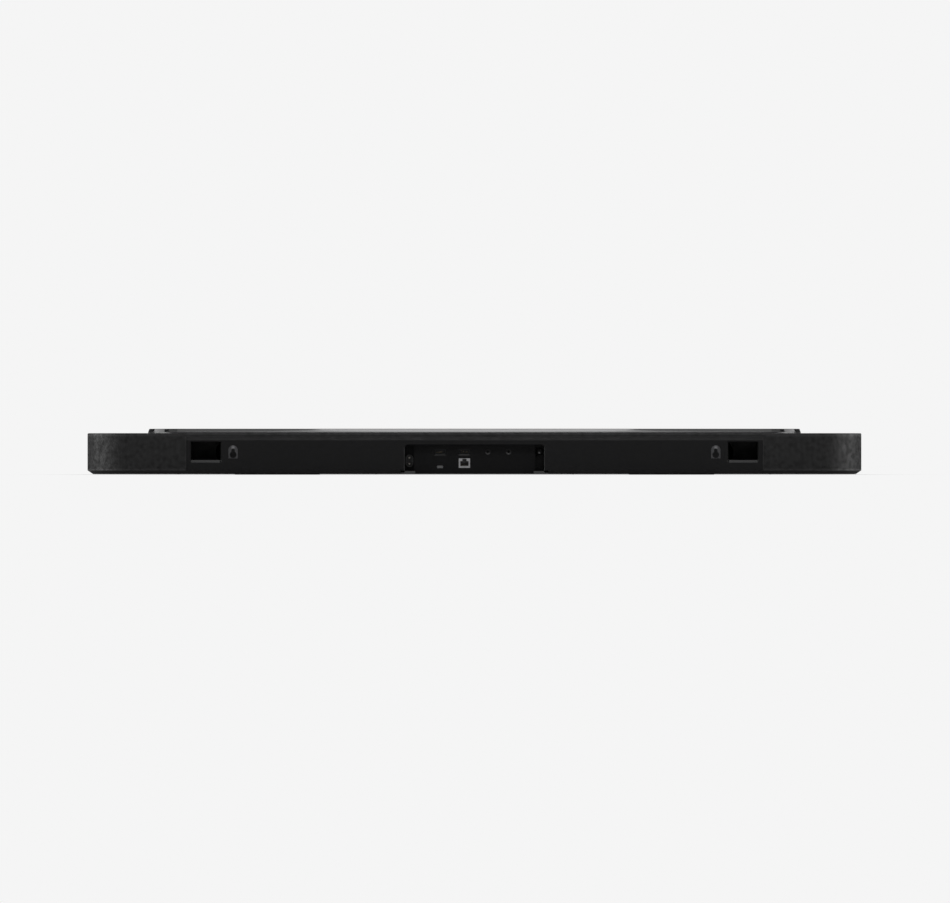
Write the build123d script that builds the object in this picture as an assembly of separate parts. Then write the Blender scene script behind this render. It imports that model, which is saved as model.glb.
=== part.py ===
from build123d import *
import os
from math import atan, degrees

# A soundbar, in millimetres. X runs along its length, the listener is towards -Y,
# the connectors face +Y, Z is up and Z = 0 is the surface that the feet stand on.
# Left and right are as the listener sees them, so left is at -X.

# Envelope
LENGTH = 1100.0
DEPTH = 120.0
HEIGHT = 65.0

# Clearances
FIT = 0.3
SEAM = 0.25
COIL_GAP = 0.4
PIVOT_PLAY = 0.06
PRESS_GAP = 0.05
SAME_PLACE = 0.01

# Base and feet
FOOT_RISE = 0.5
FOOT_RECESS = 0.8
FOOT_LENGTH = 120.0
FOOT_WIDTH = 12.0
FOOT_X = 280.0
FOOT_INSET = 22.0
BASE_HEIGHT = 5.2
BASE_UNDERCUT = 8.0

# Perforated wrap round the front, the ends and the shoulders
WRAP_WALL = 1.2
WRAP_EDGE_RADIUS = 1.6
WRAP_LEAST_BEND = 0.2
STRIP_HEIGHT = 5.6

# Raised glass slab
SLAB_RISE = 6.3
SLAB_END_MARGIN = 86.0
SLAB_SIDE_MARGIN = 6.0
SLAB_LAP = 8.0
GLASS_THICKNESS = 5.0
GLASS_LEAN = 1.72
GLASS_EDGE_RADIUS = 1.0
TOUCH_BOARD_LENGTH = 216.0
TOUCH_BOARD_WIDTH = 36.0

# Cabinet and deck
CABINET_GAP = 6.8
CABINET_WALL = 3.0
DECK_THICKNESS = 2.8
DECK_RIB_HEIGHT = 3.0
DECK_RIB_WALL = 2.0
ELECTRONICS_HALF = 125.0
UPFIRE_CHAMBER = 95.0

# Rear panel
PANEL_END_MARGIN = 141.5
PANEL_WALL = 3.0
PANEL_PROUD = 1.6
PANEL_RIM = 2.5
BEVEL_HEIGHT = 4.5

# Bass ports
PORT_WIDTH = 41.7
PORT_HEIGHT = 26.0
PORT_CORNER = 1.2
PORT_FLARE = 1.6
PORT_SILL = 3.6
PORT_BROW = 0.4
PORT_FLARE_DEPTH = 2.4
PORT_RIM_GAP = 1.6
PORT_FROM_PANEL_END = 27.9
DUCT_WALL = 2.0
DUCT_LENGTH = 57.0
DUCT_FLANGE = 4.0
DUCT_FLANGE_THICKNESS = 2.0

# Keyhole hangers
HANGER_FROM_PORT = 38.5
WINDOW_WIDTH = 13.5
WINDOW_HEIGHT = 18.8
WINDOW_BOTTOM = 17.0
HANGER_PLATE_WIDTH = 24.0
HANGER_PLATE_HEIGHT = 30.0
HANGER_PLATE_THICKNESS = 2.0
HANGER_ENTRY_RADIUS = 4.75
HANGER_SLOT_WIDTH = 4.8
HANGER_SLOT_RISE = 6.4
HANGER_ENTRY_MARGIN = 0.7
STAKE_RADIUS = 1.5
STAKE_FROM_EDGE = 3.0
HANGER_CUP_DEPTH = 6.0
HANGER_CUP_WALL = 2.0

# Connector bay with a deep plug well at each end
BAY_FLOOR_HALF = 86.0
BAY_HEIGHT = 36.0
BAY_DEPTH = 14.0
BAY_WALL = 2.0
BAY_CORNER = 4.0
BAY_EDGE = 2.5
BAY_FLANGE = 4.0
BAY_FLANGE_THICKNESS = 2.0
WELL_WIDTH = 12.5
WELL_DEPTH = 26.0
WELL_FLOOR = 4.5
RAMP_RUN = 2.8
RAMP_LIP = 0.4
RAMP_SETBACK = 0.2
RAMP_SPREAD = 4.0

# Sockets: places are X from the middle and Z above the base's top face
BOARD_THICKNESS = 1.6
IO_BOARD_GAP = 12.4
IO_BOARD_HALF = 81.0
IO_BOARD_HEIGHT = 32.0
IO_BOARD_LIFT = 4.5
STANDOFF_RADIUS = 3.0
STANDOFF_INSET = 5.0
SOCKET_RECESS = 0.9
HDMI_X = (48.5, 14.5)
HDMI_RISE = 26.8
HDMI_WIDTH = 15.0
HDMI_HEIGHT = 6.0
HDMI_SHELL = 0.6
HDMI_CHAMFER = 1.6
HDMI_SURROUND = 0.4
HDMI_DISH = 2.2
HDMI_DISH_DEPTH = 0.75
HDMI_CAVITY = 10.0
HDMI_TONGUE_WIDTH = 10.2
HDMI_TONGUE_THICKNESS = 1.2
HDMI_TONGUE_LENGTH = 8.0
USB_X = 48.8
USB_RISE = 5.2
USB_WIDTH = 8.9
USB_HEIGHT = 3.3
USB_SHELL = 0.35
USB_CAVITY = 6.5
USB_TONGUE_WIDTH = 6.7
USB_TONGUE_THICKNESS = 0.7
USB_TONGUE_LENGTH = 5.0
USB_SURROUND = 0.4
LAN_X = 14.2
LAN_RISE = 10.5
LAN_WIDTH = 16.0
LAN_HEIGHT = 13.5
LAN_SHELL = 0.8
LAN_FACE = 0.5
LAN_NOTCH_DEPTH = 2.5
LAN_CAVITY_WIDTH = 11.8
LAN_CAVITY_HEIGHT = 6.9
LAN_CAVITY_DEPTH = 12.0
LAN_LATCH_WIDTH = 6.0
LAN_LATCH_HEIGHT = 2.6
LAN_FLOOR = 2.0
JACK_X = (-19.0, -48.4)
JACK_RISE = 26.6
JACK_RADIUS = 4.2
JACK_BODY = 11.0
JACK_BODY_DEPTH = 9.5
JACK_BORE_RADIUS = 1.8
JACK_BORE_DEPTH = 12.5
JACK_RIM = 0.3
JACK_DISH_DEPTH = 0.85

# Figure-eight power inlet in one well
INLET_RISE = 13.9
INLET_LOBE_RADIUS = 4.1
INLET_LOBE_SPACING = 6.6
INLET_PIN_SPACING = 8.6
INLET_PIN_RADIUS = 1.2
INLET_PIN_REACH = 9.0
INLET_SHROUD = 1.2
INLET_COLLAR = 4.0
INLET_CAVITY = 12.0
INLET_BODY_DEPTH = 17.0
INLET_FLANGE_HEIGHT = 20.5
INLET_FLANGE_THICKNESS = 2.0

# Optical socket in the other well, with its hinged shutter
OPTICAL_RISE = 27.0
OPTICAL_SIZE = 9.8
OPTICAL_COLLAR = 2.0
OPTICAL_BODY_DEPTH = 14.0
OPTICAL_MOUTH = 6.8
OPTICAL_CAVITY_DEPTH = 11.0
OPTICAL_ROOF_RECESS = 0.8
SHUTTER_THICKNESS = 0.8
SHUTTER_SETBACK = 1.2
SHUTTER_SIDE_GAP = 0.3
SHUTTER_PIN_RADIUS = 0.4
SHUTTER_PIN_REACH = 0.8

# Front drivers
WOOFER_LENGTH = 118.0
WOOFER_MARGIN = 0.5
WOOFER_PITCH = 124.0
WOOFER_SIDE_GAP = 4.0
WOOFER_BACK_LENGTH = 84.0
WOOFER_BACK_HEIGHT = 30.0
WOOFER_BASKET_DEPTH = 16.0
WOOFER_WINDOW = 20.0
WOOFER_WINDOW_RIB = 8.0
FLANGE_THICKNESS = 2.0
FLANGE_RIM = 5.0
BASKET_WALL = 1.6
BACK_PLATE = 2.0
LEDGE_WIDTH = 2.0
LEDGE_DEPTH = 1.0
ROLL_WIDTH = 4.4
ROLL_HEIGHT = 2.0
CONE_DEPTH = 6.0
CONE_DRAW = 4.0
CONE_WALL = 0.8
COIL_RADIUS = 7.0
COIL_WALL = 0.6
COIL_LENGTH = 17.0
CAP_RISE = 2.4
MOTOR_RADIUS = 17.0
MOTOR_PLATE = 3.0
MOTOR_RING = 9.0
MOTOR_STEP = 1.0

# Tweeter in the middle
TWEETER_RADIUS = 19.0
TWEETER_PLATE = 2.0
DOME_RADIUS = 12.5
DOME_RISE = 4.0
DOME_WALL = 0.6
DOME_COIL_LENGTH = 5.0
DOME_SIDE_GAP = 0.5
TWEETER_MOTOR_RADIUS = 15.5
TWEETER_MOTOR_DEPTH = 12.0

# Up-firing drivers under the ends of the wrap
UPFIRE_FROM_END = 47.0
UPFIRE_RADIUS = 31.0
UPFIRE_BACK_RADIUS = 19.0
UPFIRE_BASKET_DEPTH = 10.0
UPFIRE_WINDOW = 14.0

# Electronics
BOARD_STANDOFF = 6.0
BOARD_FRONT_GAP = 8.0
BOARD_REAR_GAP = 8.0
BOARD_SIDE_GAP = 6.0
BOARD_MIDDLE_GAP = 8.0
SINK_LENGTH = 72.0
SINK_DEPTH = 34.0
SINK_BASE = 4.0
SINK_FIN_HEIGHT = 18.0
SINK_FIN_WALL = 1.8
SINK_FINS = 8
TRANSFORMER_LENGTH = 36.0
TRANSFORMER_DEPTH = 30.0
TRANSFORMER_HEIGHT = 22.0
CORE_DEPTH = 15.0
WINDING_LENGTH = 25.0
WINDING_HEIGHT = 12.0
WINDING_CORNER = 3.0
CAPACITOR_RADIUS = 8.0
CAPACITOR_HEIGHT = 24.0
CAPACITOR_GAP = 1.6
CAPACITOR_FROM_EDGE = 16.0
LIGHT_LENGTH = 24.0
LIGHT_HEIGHT = 4.0
LIGHT_CORNER = 1.3
LIGHT_FLANGE = 2.5
LIGHT_FLANGE_THICKNESS = 1.6
LIGHT_X = -60.0
LIGHT_REACH = 5.5

# Case screws from below
SCREW_INNER_X = 140.0
SCREW_FROM_END = 130.0
SCREW_INSET = 22.0
SCREW_HEAD_RADIUS = 3.2
SCREW_HEAD_HEIGHT = 1.8
SCREW_SHANK_RADIUS = 1.5
SCREW_SHANK_LENGTH = 9.0
BOSS_RADIUS = 4.0
BOSS_HEIGHT = 8.0

# Levels and faces that the pieces share
base_top = FOOT_RISE + BASE_HEIGHT
wrap_top = HEIGHT - SLAB_RISE
deck_top = wrap_top - WRAP_WALL
deck_bottom = deck_top - DECK_THICKNESS
glass_bottom = HEIGHT - GLASS_THICKNESS
rear_face = DEPTH / 2
cabinet_inset = WRAP_WALL + CABINET_GAP
cabinet_rear = rear_face - cabinet_inset
cabinet_front = -cabinet_rear
cabinet_floor = base_top + CABINET_WALL
panel_half = LENGTH / 2 - PANEL_END_MARGIN
panel_top = wrap_top - STRIP_HEIGHT
bevel_start = panel_top - BEVEL_HEIGHT
panel_face = rear_face + PANEL_PROUD
panel_back = panel_face - PANEL_WALL
port_x = panel_half - PORT_FROM_PANEL_END
port_z = bevel_start - PORT_RIM_GAP - PORT_BROW - PORT_HEIGHT / 2
hanger_x = port_x - HANGER_FROM_PORT
window_z = base_top + WINDOW_BOTTOM
entry_z = window_z + HANGER_ENTRY_MARGIN + HANGER_ENTRY_RADIUS
bay_face = rear_face - BAY_DEPTH
bay_back = bay_face - BAY_WALL
bay_top = base_top + BAY_HEIGHT
well_outer = BAY_FLOOR_HALF + WELL_WIDTH
well_x = BAY_FLOOR_HALF + WELL_WIDTH / 2
well_face = rear_face - WELL_DEPTH
well_back = well_face - BAY_WALL
inlet_back = well_back - INLET_BODY_DEPTH + INLET_COLLAR
io_board_face = bay_back - IO_BOARD_GAP
driver_z = (cabinet_floor + deck_bottom) / 2
woofer_height = deck_bottom - cabinet_floor - 2 * WOOFER_MARGIN
upfire_x = LENGTH / 2 - UPFIRE_FROM_END
board_z = cabinet_floor + BOARD_STANDOFF
board_front = cabinet_front + CABINET_WALL + BOARD_FRONT_GAP
board_rear = inlet_back - BOARD_REAR_GAP
board_middle = (board_front + board_rear) / 2


# Shaping helpers
def stadium(inset):
    return SlotOverall(LENGTH - 2 * inset, DEPTH - 2 * inset)


def slab_outline(inset):
    length = LENGTH - 2 * (SLAB_END_MARGIN + inset)
    return SlotOverall(length, DEPTH - 2 * (SLAB_SIDE_MARGIN + inset))


def rise(sketch, low, high):
    return extrude(Pos(0, 0, low) * sketch, amount=high - low)


def run(sketch, front, rear):
    # The sketch is drawn in X and Z, and becomes a prism from the front to the rear Y.
    plane = Plane(origin=(0, rear, 0), x_dir=(1, 0, 0), z_dir=(0, -1, 0))
    return extrude(plane * sketch, amount=rear - front, dir=(0, -1, 0))


def flared(levels):
    # Rings drawn in X and Z, each at its own Y, with straight sloping faces between them.
    facing = dict(x_dir=(1, 0, 0), z_dir=(0, -1, 0))
    return loft([Plane(origin=(0, y, 0), **facing) * ring for y, ring in levels], ruled=True)


def along(points, low, high):
    # The points are Y and Z pairs of a profile that runs along X.
    plane = Plane(origin=(low, 0, 0), x_dir=(0, 1, 0), z_dir=(1, 0, 0))
    return extrude(plane * Polygon(*points, align=None), amount=high - low, dir=(1, 0, 0))


def block(low, high):
    size = [b - a for a, b in zip(low, high)]
    middle = [(a + b) / 2 for a, b in zip(low, high)]
    return Pos(*middle) * Box(*size)


def both_ends(part):
    return part + mirror(part, about=Plane.YZ)


def edges_within(part, low, high):
    def inside(edge):
        box = edge.bounding_box()
        above = all(a - SAME_PLACE <= b for a, b in zip(low, box.min))
        return above and all(b <= a + SAME_PLACE for a, b in zip(high, box.max))

    return part.edges().filter_by(inside)


# Feet and base
def foot_places():
    y = DEPTH / 2 - FOOT_INSET
    return [(x, s * y) for x in (-FOOT_X, FOOT_X) for s in (-1, 1)]


def screw_places():
    y = DEPTH / 2 - SCREW_INSET
    outer = LENGTH / 2 - SCREW_FROM_END
    return [(s * x, t * y) for x in (SCREW_INNER_X, outer) for s in (-1, 1) for t in (-1, 1)]


def make_feet():
    pad = rise(SlotOverall(FOOT_LENGTH, FOOT_WIDTH), 0, FOOT_RISE + FOOT_RECESS)
    return [Pos(x, y) * pad for x, y in foot_places()]


def make_base():
    lean = degrees(atan((BASE_UNDERCUT - FIT) / BASE_HEIGHT))
    rim = Pos(0, 0, base_top) * Rot(180, 0, 0) * stadium(FIT)
    base = extrude(rim, amount=BASE_HEIGHT, taper=lean)
    pocket = SlotOverall(FOOT_LENGTH + 2 * FIT, FOOT_WIDTH + 2 * FIT)
    for x, y in foot_places():
        base -= Pos(x, y) * rise(pocket, FOOT_RISE, FOOT_RISE + FOOT_RECESS)
    for x, y in screw_places():
        head = rise(Circle(SCREW_HEAD_RADIUS + FIT), FOOT_RISE, FOOT_RISE + SCREW_HEAD_HEIGHT)
        base -= Pos(x, y) * (head + rise(Circle(SCREW_SHANK_RADIUS + FIT), FOOT_RISE, base_top))
    outer = well_outer + BAY_WALL + RAMP_SPREAD + FIT
    base -= block((-outer, bay_back - FIT, 0), (outer, rear_face, base_top))
    inner = BAY_FLOOR_HALF - BAY_WALL - FIT
    return base - both_ends(block((inner, well_back - FIT, 0), (outer, rear_face, base_top)))


def make_screws():
    head_top = FOOT_RISE + SCREW_HEAD_HEIGHT
    screw = rise(Circle(SCREW_HEAD_RADIUS), FOOT_RISE, head_top)
    screw += rise(Circle(SCREW_SHANK_RADIUS), head_top, head_top + SCREW_SHANK_LENGTH)
    return [Pos(x, y) * screw for x, y in screw_places()]


# Wrap: a sheet drawn over the shoulders, with an opening under the slab and a window behind
def make_wrap():
    def dome(inset, radius):
        solid = rise(stadium(inset), base_top, wrap_top - inset)
        return fillet(solid.faces().sort_by(Axis.Z)[-1].edges(), radius)

    wrap = dome(0, WRAP_EDGE_RADIUS) - dome(WRAP_WALL, max(WRAP_EDGE_RADIUS - WRAP_WALL, WRAP_LEAST_BEND))
    wrap -= rise(slab_outline(SLAB_LAP), deck_bottom, HEIGHT)
    half = panel_half + SEAM
    wrap -= block((-half, cabinet_rear, 0), (half, DEPTH, panel_top + SEAM))
    return wrap


# Cabinet: the closed box that carries the drivers, the boards and the ducts
def cup_block(x, wall, depth):
    half_width = HANGER_PLATE_WIDTH / 2 - HANGER_CUP_WALL + wall
    half_height = HANGER_PLATE_HEIGHT / 2 - HANGER_CUP_WALL + wall
    middle = window_z + WINDOW_HEIGHT / 2
    low = (x - half_width, cabinet_rear - depth, middle - half_height)
    return block(low, (x + half_width, cabinet_rear, middle + half_height))


def make_cabinet():
    cabinet = rise(stadium(cabinet_inset), base_top, deck_bottom)
    inner = rise(stadium(cabinet_inset + CABINET_WALL), cabinet_floor, deck_bottom)
    walls = (ELECTRONICS_HALF, LENGTH / 2 - UPFIRE_CHAMBER)
    for x in walls:
        inner -= both_ends(block((x, -DEPTH, 0), (x + CABINET_WALL, DEPTH, HEIGHT)))
    cabinet -= inner
    boss_top = cabinet_floor + BOSS_HEIGHT
    boss = rise(Circle(BOSS_RADIUS), base_top, boss_top)
    standoff = rise(Circle(STANDOFF_RADIUS), base_top, board_z)
    cabinet += [Pos(x, y) * boss for x, y in screw_places()]
    cabinet += [Pos(x, y) * standoff for x, y in standoff_places()]
    for x in (-hanger_x, hanger_x):
        cabinet += cup_block(x, HANGER_CUP_WALL, HANGER_CUP_DEPTH + HANGER_CUP_WALL)
        cabinet -= cup_block(x, 0, HANGER_CUP_DEPTH)
    for x, y in screw_places():
        cabinet -= Pos(x, y) * rise(Circle(SCREW_SHANK_RADIUS + FIT), base_top, boss_top)
    # Baffle cut-outs at the front
    behind_wall = cabinet_front + CABINET_WALL
    for x in woofer_places():
        cabinet -= run(Pos(x, driver_z) * woofer_outline(FLANGE_RIM), cabinet_front, behind_wall)
    cabinet -= run(Pos(0, driver_z) * Circle(TWEETER_MOTOR_RADIUS + SEAM), cabinet_front, behind_wall)
    light = Rectangle(LIGHT_LENGTH + 2 * FIT, LIGHT_HEIGHT + 2 * FIT)
    cabinet -= run(Pos(LIGHT_X, driver_z) * light, cabinet_front, behind_wall)
    # Duct holes and the connector bay's notch at the rear
    for x in (-port_x, port_x):
        hole = Pos(x, port_z) * port_outline(DUCT_WALL + FIT)
        cabinet -= run(hole, cabinet_rear - CABINET_WALL, cabinet_rear)
    half = well_outer + BAY_WALL + FIT
    cabinet -= block((-half, well_back - FIT, 0), (half, rear_face, bay_top + BAY_WALL + FIT))
    return cabinet


def make_deck():
    deck = rise(stadium(WRAP_WALL + FIT), deck_bottom, deck_top)
    deck = chamfer(deck.faces().sort_by(Axis.Z)[-1].edges(), WRAP_EDGE_RADIUS / 2)
    outer = cabinet_inset + CABINET_WALL + FIT
    rib = stadium(outer) - stadium(outer + DECK_RIB_WALL)
    ribs = rise(rib, deck_bottom - DECK_RIB_HEIGHT, deck_bottom)
    for x in (ELECTRONICS_HALF, LENGTH / 2 - UPFIRE_CHAMBER):
        gap = block((x - FIT, -DEPTH, 0), (x + CABINET_WALL + FIT, DEPTH, deck_bottom))
        ribs -= both_ends(gap)
    deck += ribs
    for x in (-upfire_x, upfire_x):
        deck -= Pos(x, 0) * rise(Circle(UPFIRE_RADIUS - FLANGE_RIM), deck_bottom, deck_top)
    return deck


# Glass slab
def make_tray():
    tray = rise(slab_outline(SLAB_LAP + FIT), deck_top, wrap_top)
    tray += rise(slab_outline(0), wrap_top, glass_bottom)
    pocket = Rectangle(TOUCH_BOARD_LENGTH + 2 * FIT, TOUCH_BOARD_WIDTH + 2 * FIT)
    return tray - rise(pocket, glass_bottom - BOARD_THICKNESS, glass_bottom)


def make_touch_board():
    board = Rectangle(TOUCH_BOARD_LENGTH, TOUCH_BOARD_WIDTH)
    return rise(board, glass_bottom - BOARD_THICKNESS, glass_bottom)


def make_glass():
    lean = degrees(atan(GLASS_LEAN / GLASS_THICKNESS))
    glass = extrude(Pos(0, 0, glass_bottom) * slab_outline(0), amount=GLASS_THICKNESS, taper=lean)
    return fillet(glass.faces().sort_by(Axis.Z)[-1].edges(), GLASS_EDGE_RADIUS)


# Rear panel: a frame round the bay between two wings, shallow trays with a bevelled top edge,
# flared ports and arched hanger windows
def port_outline(grow):
    return RectangleRounded(PORT_WIDTH + 2 * grow, PORT_HEIGHT + 2 * grow, PORT_CORNER + grow)


def port_mouth(x):
    # The mouth opens outward with flat sloping lips, the lowest of them a broad sill.
    throat = panel_face - min(PORT_FLARE_DEPTH, PANEL_WALL - FIT)
    height = PORT_HEIGHT + PORT_SILL + PORT_BROW
    lips = RectangleRounded(PORT_WIDTH + 2 * PORT_FLARE, height, PORT_CORNER + PORT_FLARE)
    lips = Pos(x, port_z + (PORT_BROW - PORT_SILL) / 2) * lips
    return flared([(throat, Pos(x, port_z) * port_outline(0)), (panel_face, lips)])


def arch_window():
    radius = WINDOW_WIDTH / 2
    straight = WINDOW_HEIGHT - radius
    arch = Pos(0, straight / 2) * Rectangle(WINDOW_WIDTH, straight)
    return arch + Pos(0, straight) * Circle(radius)


def stake_places(x):
    middle = window_z + WINDOW_HEIGHT / 2
    reach = HANGER_PLATE_HEIGHT / 2 - STAKE_FROM_EDGE
    return [(x, middle - reach), (x, middle + reach)]


def make_panel():
    inner_top = panel_top - PANEL_RIM
    inner_low = base_top + PANEL_RIM
    outside = [(cabinet_rear, base_top), (panel_face, base_top), (panel_face, bevel_start)]
    outside += [(rear_face, panel_top), (cabinet_rear, panel_top)]
    inside = [(cabinet_rear, inner_low), (panel_back, inner_low), (panel_back, bevel_start)]
    inside += [(panel_back - PANEL_PROUD, inner_top), (cabinet_rear, inner_top)]
    panel = along(outside, -panel_half, panel_half)
    panel -= along(inside, -panel_half + PANEL_RIM, panel_half - PANEL_RIM)
    half = well_outer
    opening = RectangleRounded(2 * half, 2 * BAY_HEIGHT, BAY_CORNER)
    panel -= run(Pos(0, bay_top - BAY_HEIGHT) * opening, 0, panel_face)
    flank = well_outer + BAY_WALL + BAY_FLANGE + FIT
    panel -= block((-flank, cabinet_rear, 0), (flank, panel_back, bay_top + BAY_WALL + BAY_FLANGE + FIT))
    for x in (-port_x, port_x):
        panel -= run(Pos(x, port_z) * port_outline(0), 0, panel_face)
        panel -= run(Pos(x, port_z) * port_outline(DUCT_FLANGE + FIT), 0, panel_back)
        panel -= port_mouth(x)
    rim = edges_within(panel, (-half, panel_face, base_top), (half, panel_face, bay_top))
    panel = fillet(rim, min(BAY_EDGE, PANEL_WALL - FIT))
    for x in (-hanger_x, hanger_x):
        panel -= run(Pos(x, window_z) * arch_window(), panel_back, panel_face)
        for u, v in stake_places(x):
            panel += run(Pos(u, v) * Circle(STAKE_RADIUS), panel_back - HANGER_PLATE_THICKNESS, panel_back)
    edges = (-panel_half, -flank, flank, panel_half)
    zones = [block((a, 0, 0), (b, DEPTH, HEIGHT)) for a, b in zip(edges, edges[1:])]
    return [panel & zone for zone in zones]


def make_hanger(x):
    middle = window_z + WINDOW_HEIGHT / 2
    plate = Pos(x, middle) * RectangleRounded(HANGER_PLATE_WIDTH, HANGER_PLATE_HEIGHT, STAKE_FROM_EDGE)
    slot = Pos(x, entry_z) * Circle(HANGER_ENTRY_RADIUS)
    slot += Pos(x, entry_z + HANGER_SLOT_RISE / 2) * Rectangle(HANGER_SLOT_WIDTH, HANGER_SLOT_RISE)
    slot += Pos(x, entry_z + HANGER_SLOT_RISE) * Circle(HANGER_SLOT_WIDTH / 2)
    plate -= slot
    for u, v in stake_places(x):
        plate -= Pos(u, v) * Circle(STAKE_RADIUS + FIT / 2)
    return run(plate, panel_back - HANGER_PLATE_THICKNESS, panel_back)


def make_duct(x):
    inner_end = panel_back - DUCT_LENGTH
    duct = run(Pos(x, port_z) * port_outline(DUCT_WALL), inner_end, panel_back)
    duct += run(Pos(x, port_z) * port_outline(DUCT_FLANGE), panel_back - DUCT_FLANGE_THICKNESS, panel_back)
    duct -= run(Pos(x, port_z) * port_outline(0), inner_end, panel_back)
    low = (x - PORT_WIDTH / 2, inner_end, port_z - PORT_HEIGHT / 2)
    high = (x + PORT_WIDTH / 2, inner_end, port_z + PORT_HEIGHT / 2)
    return fillet(edges_within(duct, low, high), DUCT_WALL - FIT)


# Connector bay
def socket_places():
    places = [(x, base_top + HDMI_RISE, hdmi_outline(HDMI_SURROUND)) for x in HDMI_X]
    places += [(x, base_top + JACK_RISE, Circle(JACK_RADIUS + FIT)) for x in JACK_X]
    places += [(USB_X, base_top + USB_RISE, usb_outline(USB_SURROUND))]
    lan = Rectangle(LAN_WIDTH + 2 * FIT, LAN_HEIGHT + 2 * FIT)
    return places + [(LAN_X, base_top + LAN_RISE, lan)]


def io_standoff_places():
    x = IO_BOARD_HALF - STANDOFF_INSET
    low = base_top + IO_BOARD_LIFT + STANDOFF_INSET
    high = base_top + IO_BOARD_LIFT + IO_BOARD_HEIGHT - STANDOFF_INSET
    return [(s * x, z) for s in (-1, 1) for z in (low, high)]


def make_bay():
    roof = bay_top + BAY_WALL
    outer = well_outer + BAY_WALL
    inner = BAY_FLOOR_HALF - BAY_WALL
    floor = FOOT_RISE + WELL_FLOOR
    bay = block((-outer, bay_back, floor), (outer, panel_back, roof))
    bay += block((-outer, panel_back - BAY_FLANGE_THICKNESS, floor), (outer, panel_back, roof + BAY_FLANGE))
    bay += both_ends(block((inner, well_back, floor), (outer, bay_face, roof)))
    side = (outer + BAY_FLANGE, panel_back, roof + BAY_FLANGE)
    bay += both_ends(block((outer, panel_back - BAY_FLANGE_THICKNESS, base_top), side))
    bay -= block((-well_outer, bay_face, 0), (well_outer, panel_face, bay_top))
    bay -= both_ends(block((BAY_FLOOR_HALF, well_face, 0), (well_outer, panel_face, bay_top)))
    # The middle of the back wall reaches down past the base, and each well's floor ends in a wide ramp
    bay += block((-inner, bay_back, FOOT_RISE), (inner, bay_face, bay_top))
    tip = panel_face - RAMP_SETBACK
    ramp = [(well_back, FOOT_RISE), (well_back, floor), (tip - RAMP_RUN, floor)]
    ramp += [(tip, FOOT_RISE + RAMP_LIP), (tip, FOOT_RISE)]
    bay += both_ends(along(ramp, inner, outer + RAMP_SPREAD))
    for x, z, outline in socket_places():
        bay -= run(Pos(x, z) * outline, bay_back, bay_face)
    for x in HDMI_X:
        place = Pos(x, base_top + HDMI_RISE)
        throat = bay_face - min(HDMI_DISH_DEPTH, BAY_WALL - FIT)
        rim = place * hdmi_outline(HDMI_SURROUND + HDMI_DISH)
        bay -= flared([(throat, place * hdmi_outline(HDMI_SURROUND)), (bay_face, rim)])
    inlet = Pos(well_x, base_top + INLET_RISE) * inlet_outline(INLET_SHROUD + FIT)
    bay -= run(inlet, well_back, well_face)
    optical = Rectangle(OPTICAL_SIZE + 2 * FIT, OPTICAL_SIZE + 2 * FIT)
    bay -= run(Pos(-well_x, base_top + OPTICAL_RISE) * optical, well_back, well_face)
    for x, z in io_standoff_places():
        bay += run(Pos(x, z) * Circle(STANDOFF_RADIUS), io_board_face, bay_back)
    return bay


def make_io_board():
    low = base_top + IO_BOARD_LIFT
    front = io_board_face - BOARD_THICKNESS
    high = low + IO_BOARD_HEIGHT
    return block((-IO_BOARD_HALF, front, low), (IO_BOARD_HALF, io_board_face, high))


# Sockets on the vertical board
def hdmi_outline(grow):
    x = HDMI_WIDTH / 2 + grow
    z = HDMI_HEIGHT / 2 + grow
    cut = HDMI_CHAMFER
    points = [(-x, z), (-x, cut - z), (cut - x, -z), (x - cut, -z), (x, cut - z), (x, z)]
    return Polygon(*points, align=None)


def make_hdmi(x):
    face = bay_face - SOCKET_RECESS
    place = Pos(x, base_top + HDMI_RISE)
    socket = run(place * hdmi_outline(0), io_board_face, face)
    socket -= run(place * hdmi_outline(-HDMI_SHELL), face - HDMI_CAVITY, face)
    tongue = place * Rectangle(HDMI_TONGUE_WIDTH, HDMI_TONGUE_THICKNESS)
    return socket + run(tongue, face - HDMI_CAVITY, face - HDMI_CAVITY + HDMI_TONGUE_LENGTH)


def usb_outline(grow):
    return SlotOverall(USB_WIDTH + 2 * grow, USB_HEIGHT + 2 * grow)


def make_usb():
    face = bay_face - SOCKET_RECESS
    place = Pos(USB_X, base_top + USB_RISE)
    socket = run(place * usb_outline(0), io_board_face, face)
    socket -= run(place * usb_outline(-USB_SHELL), face - USB_CAVITY, face)
    tongue = place * Rectangle(USB_TONGUE_WIDTH, USB_TONGUE_THICKNESS)
    return socket + run(tongue, face - USB_CAVITY, face - USB_CAVITY + USB_TONGUE_LENGTH)


def lan_mouth():
    floor = LAN_FLOOR + LAN_SHELL - LAN_HEIGHT / 2
    roof = floor + LAN_CAVITY_HEIGHT
    mouth = Pos(0, floor + LAN_CAVITY_HEIGHT / 2) * Rectangle(LAN_CAVITY_WIDTH, LAN_CAVITY_HEIGHT)
    return mouth + Pos(0, roof + LAN_LATCH_HEIGHT / 2) * Rectangle(LAN_LATCH_WIDTH, LAN_LATCH_HEIGHT)


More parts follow.
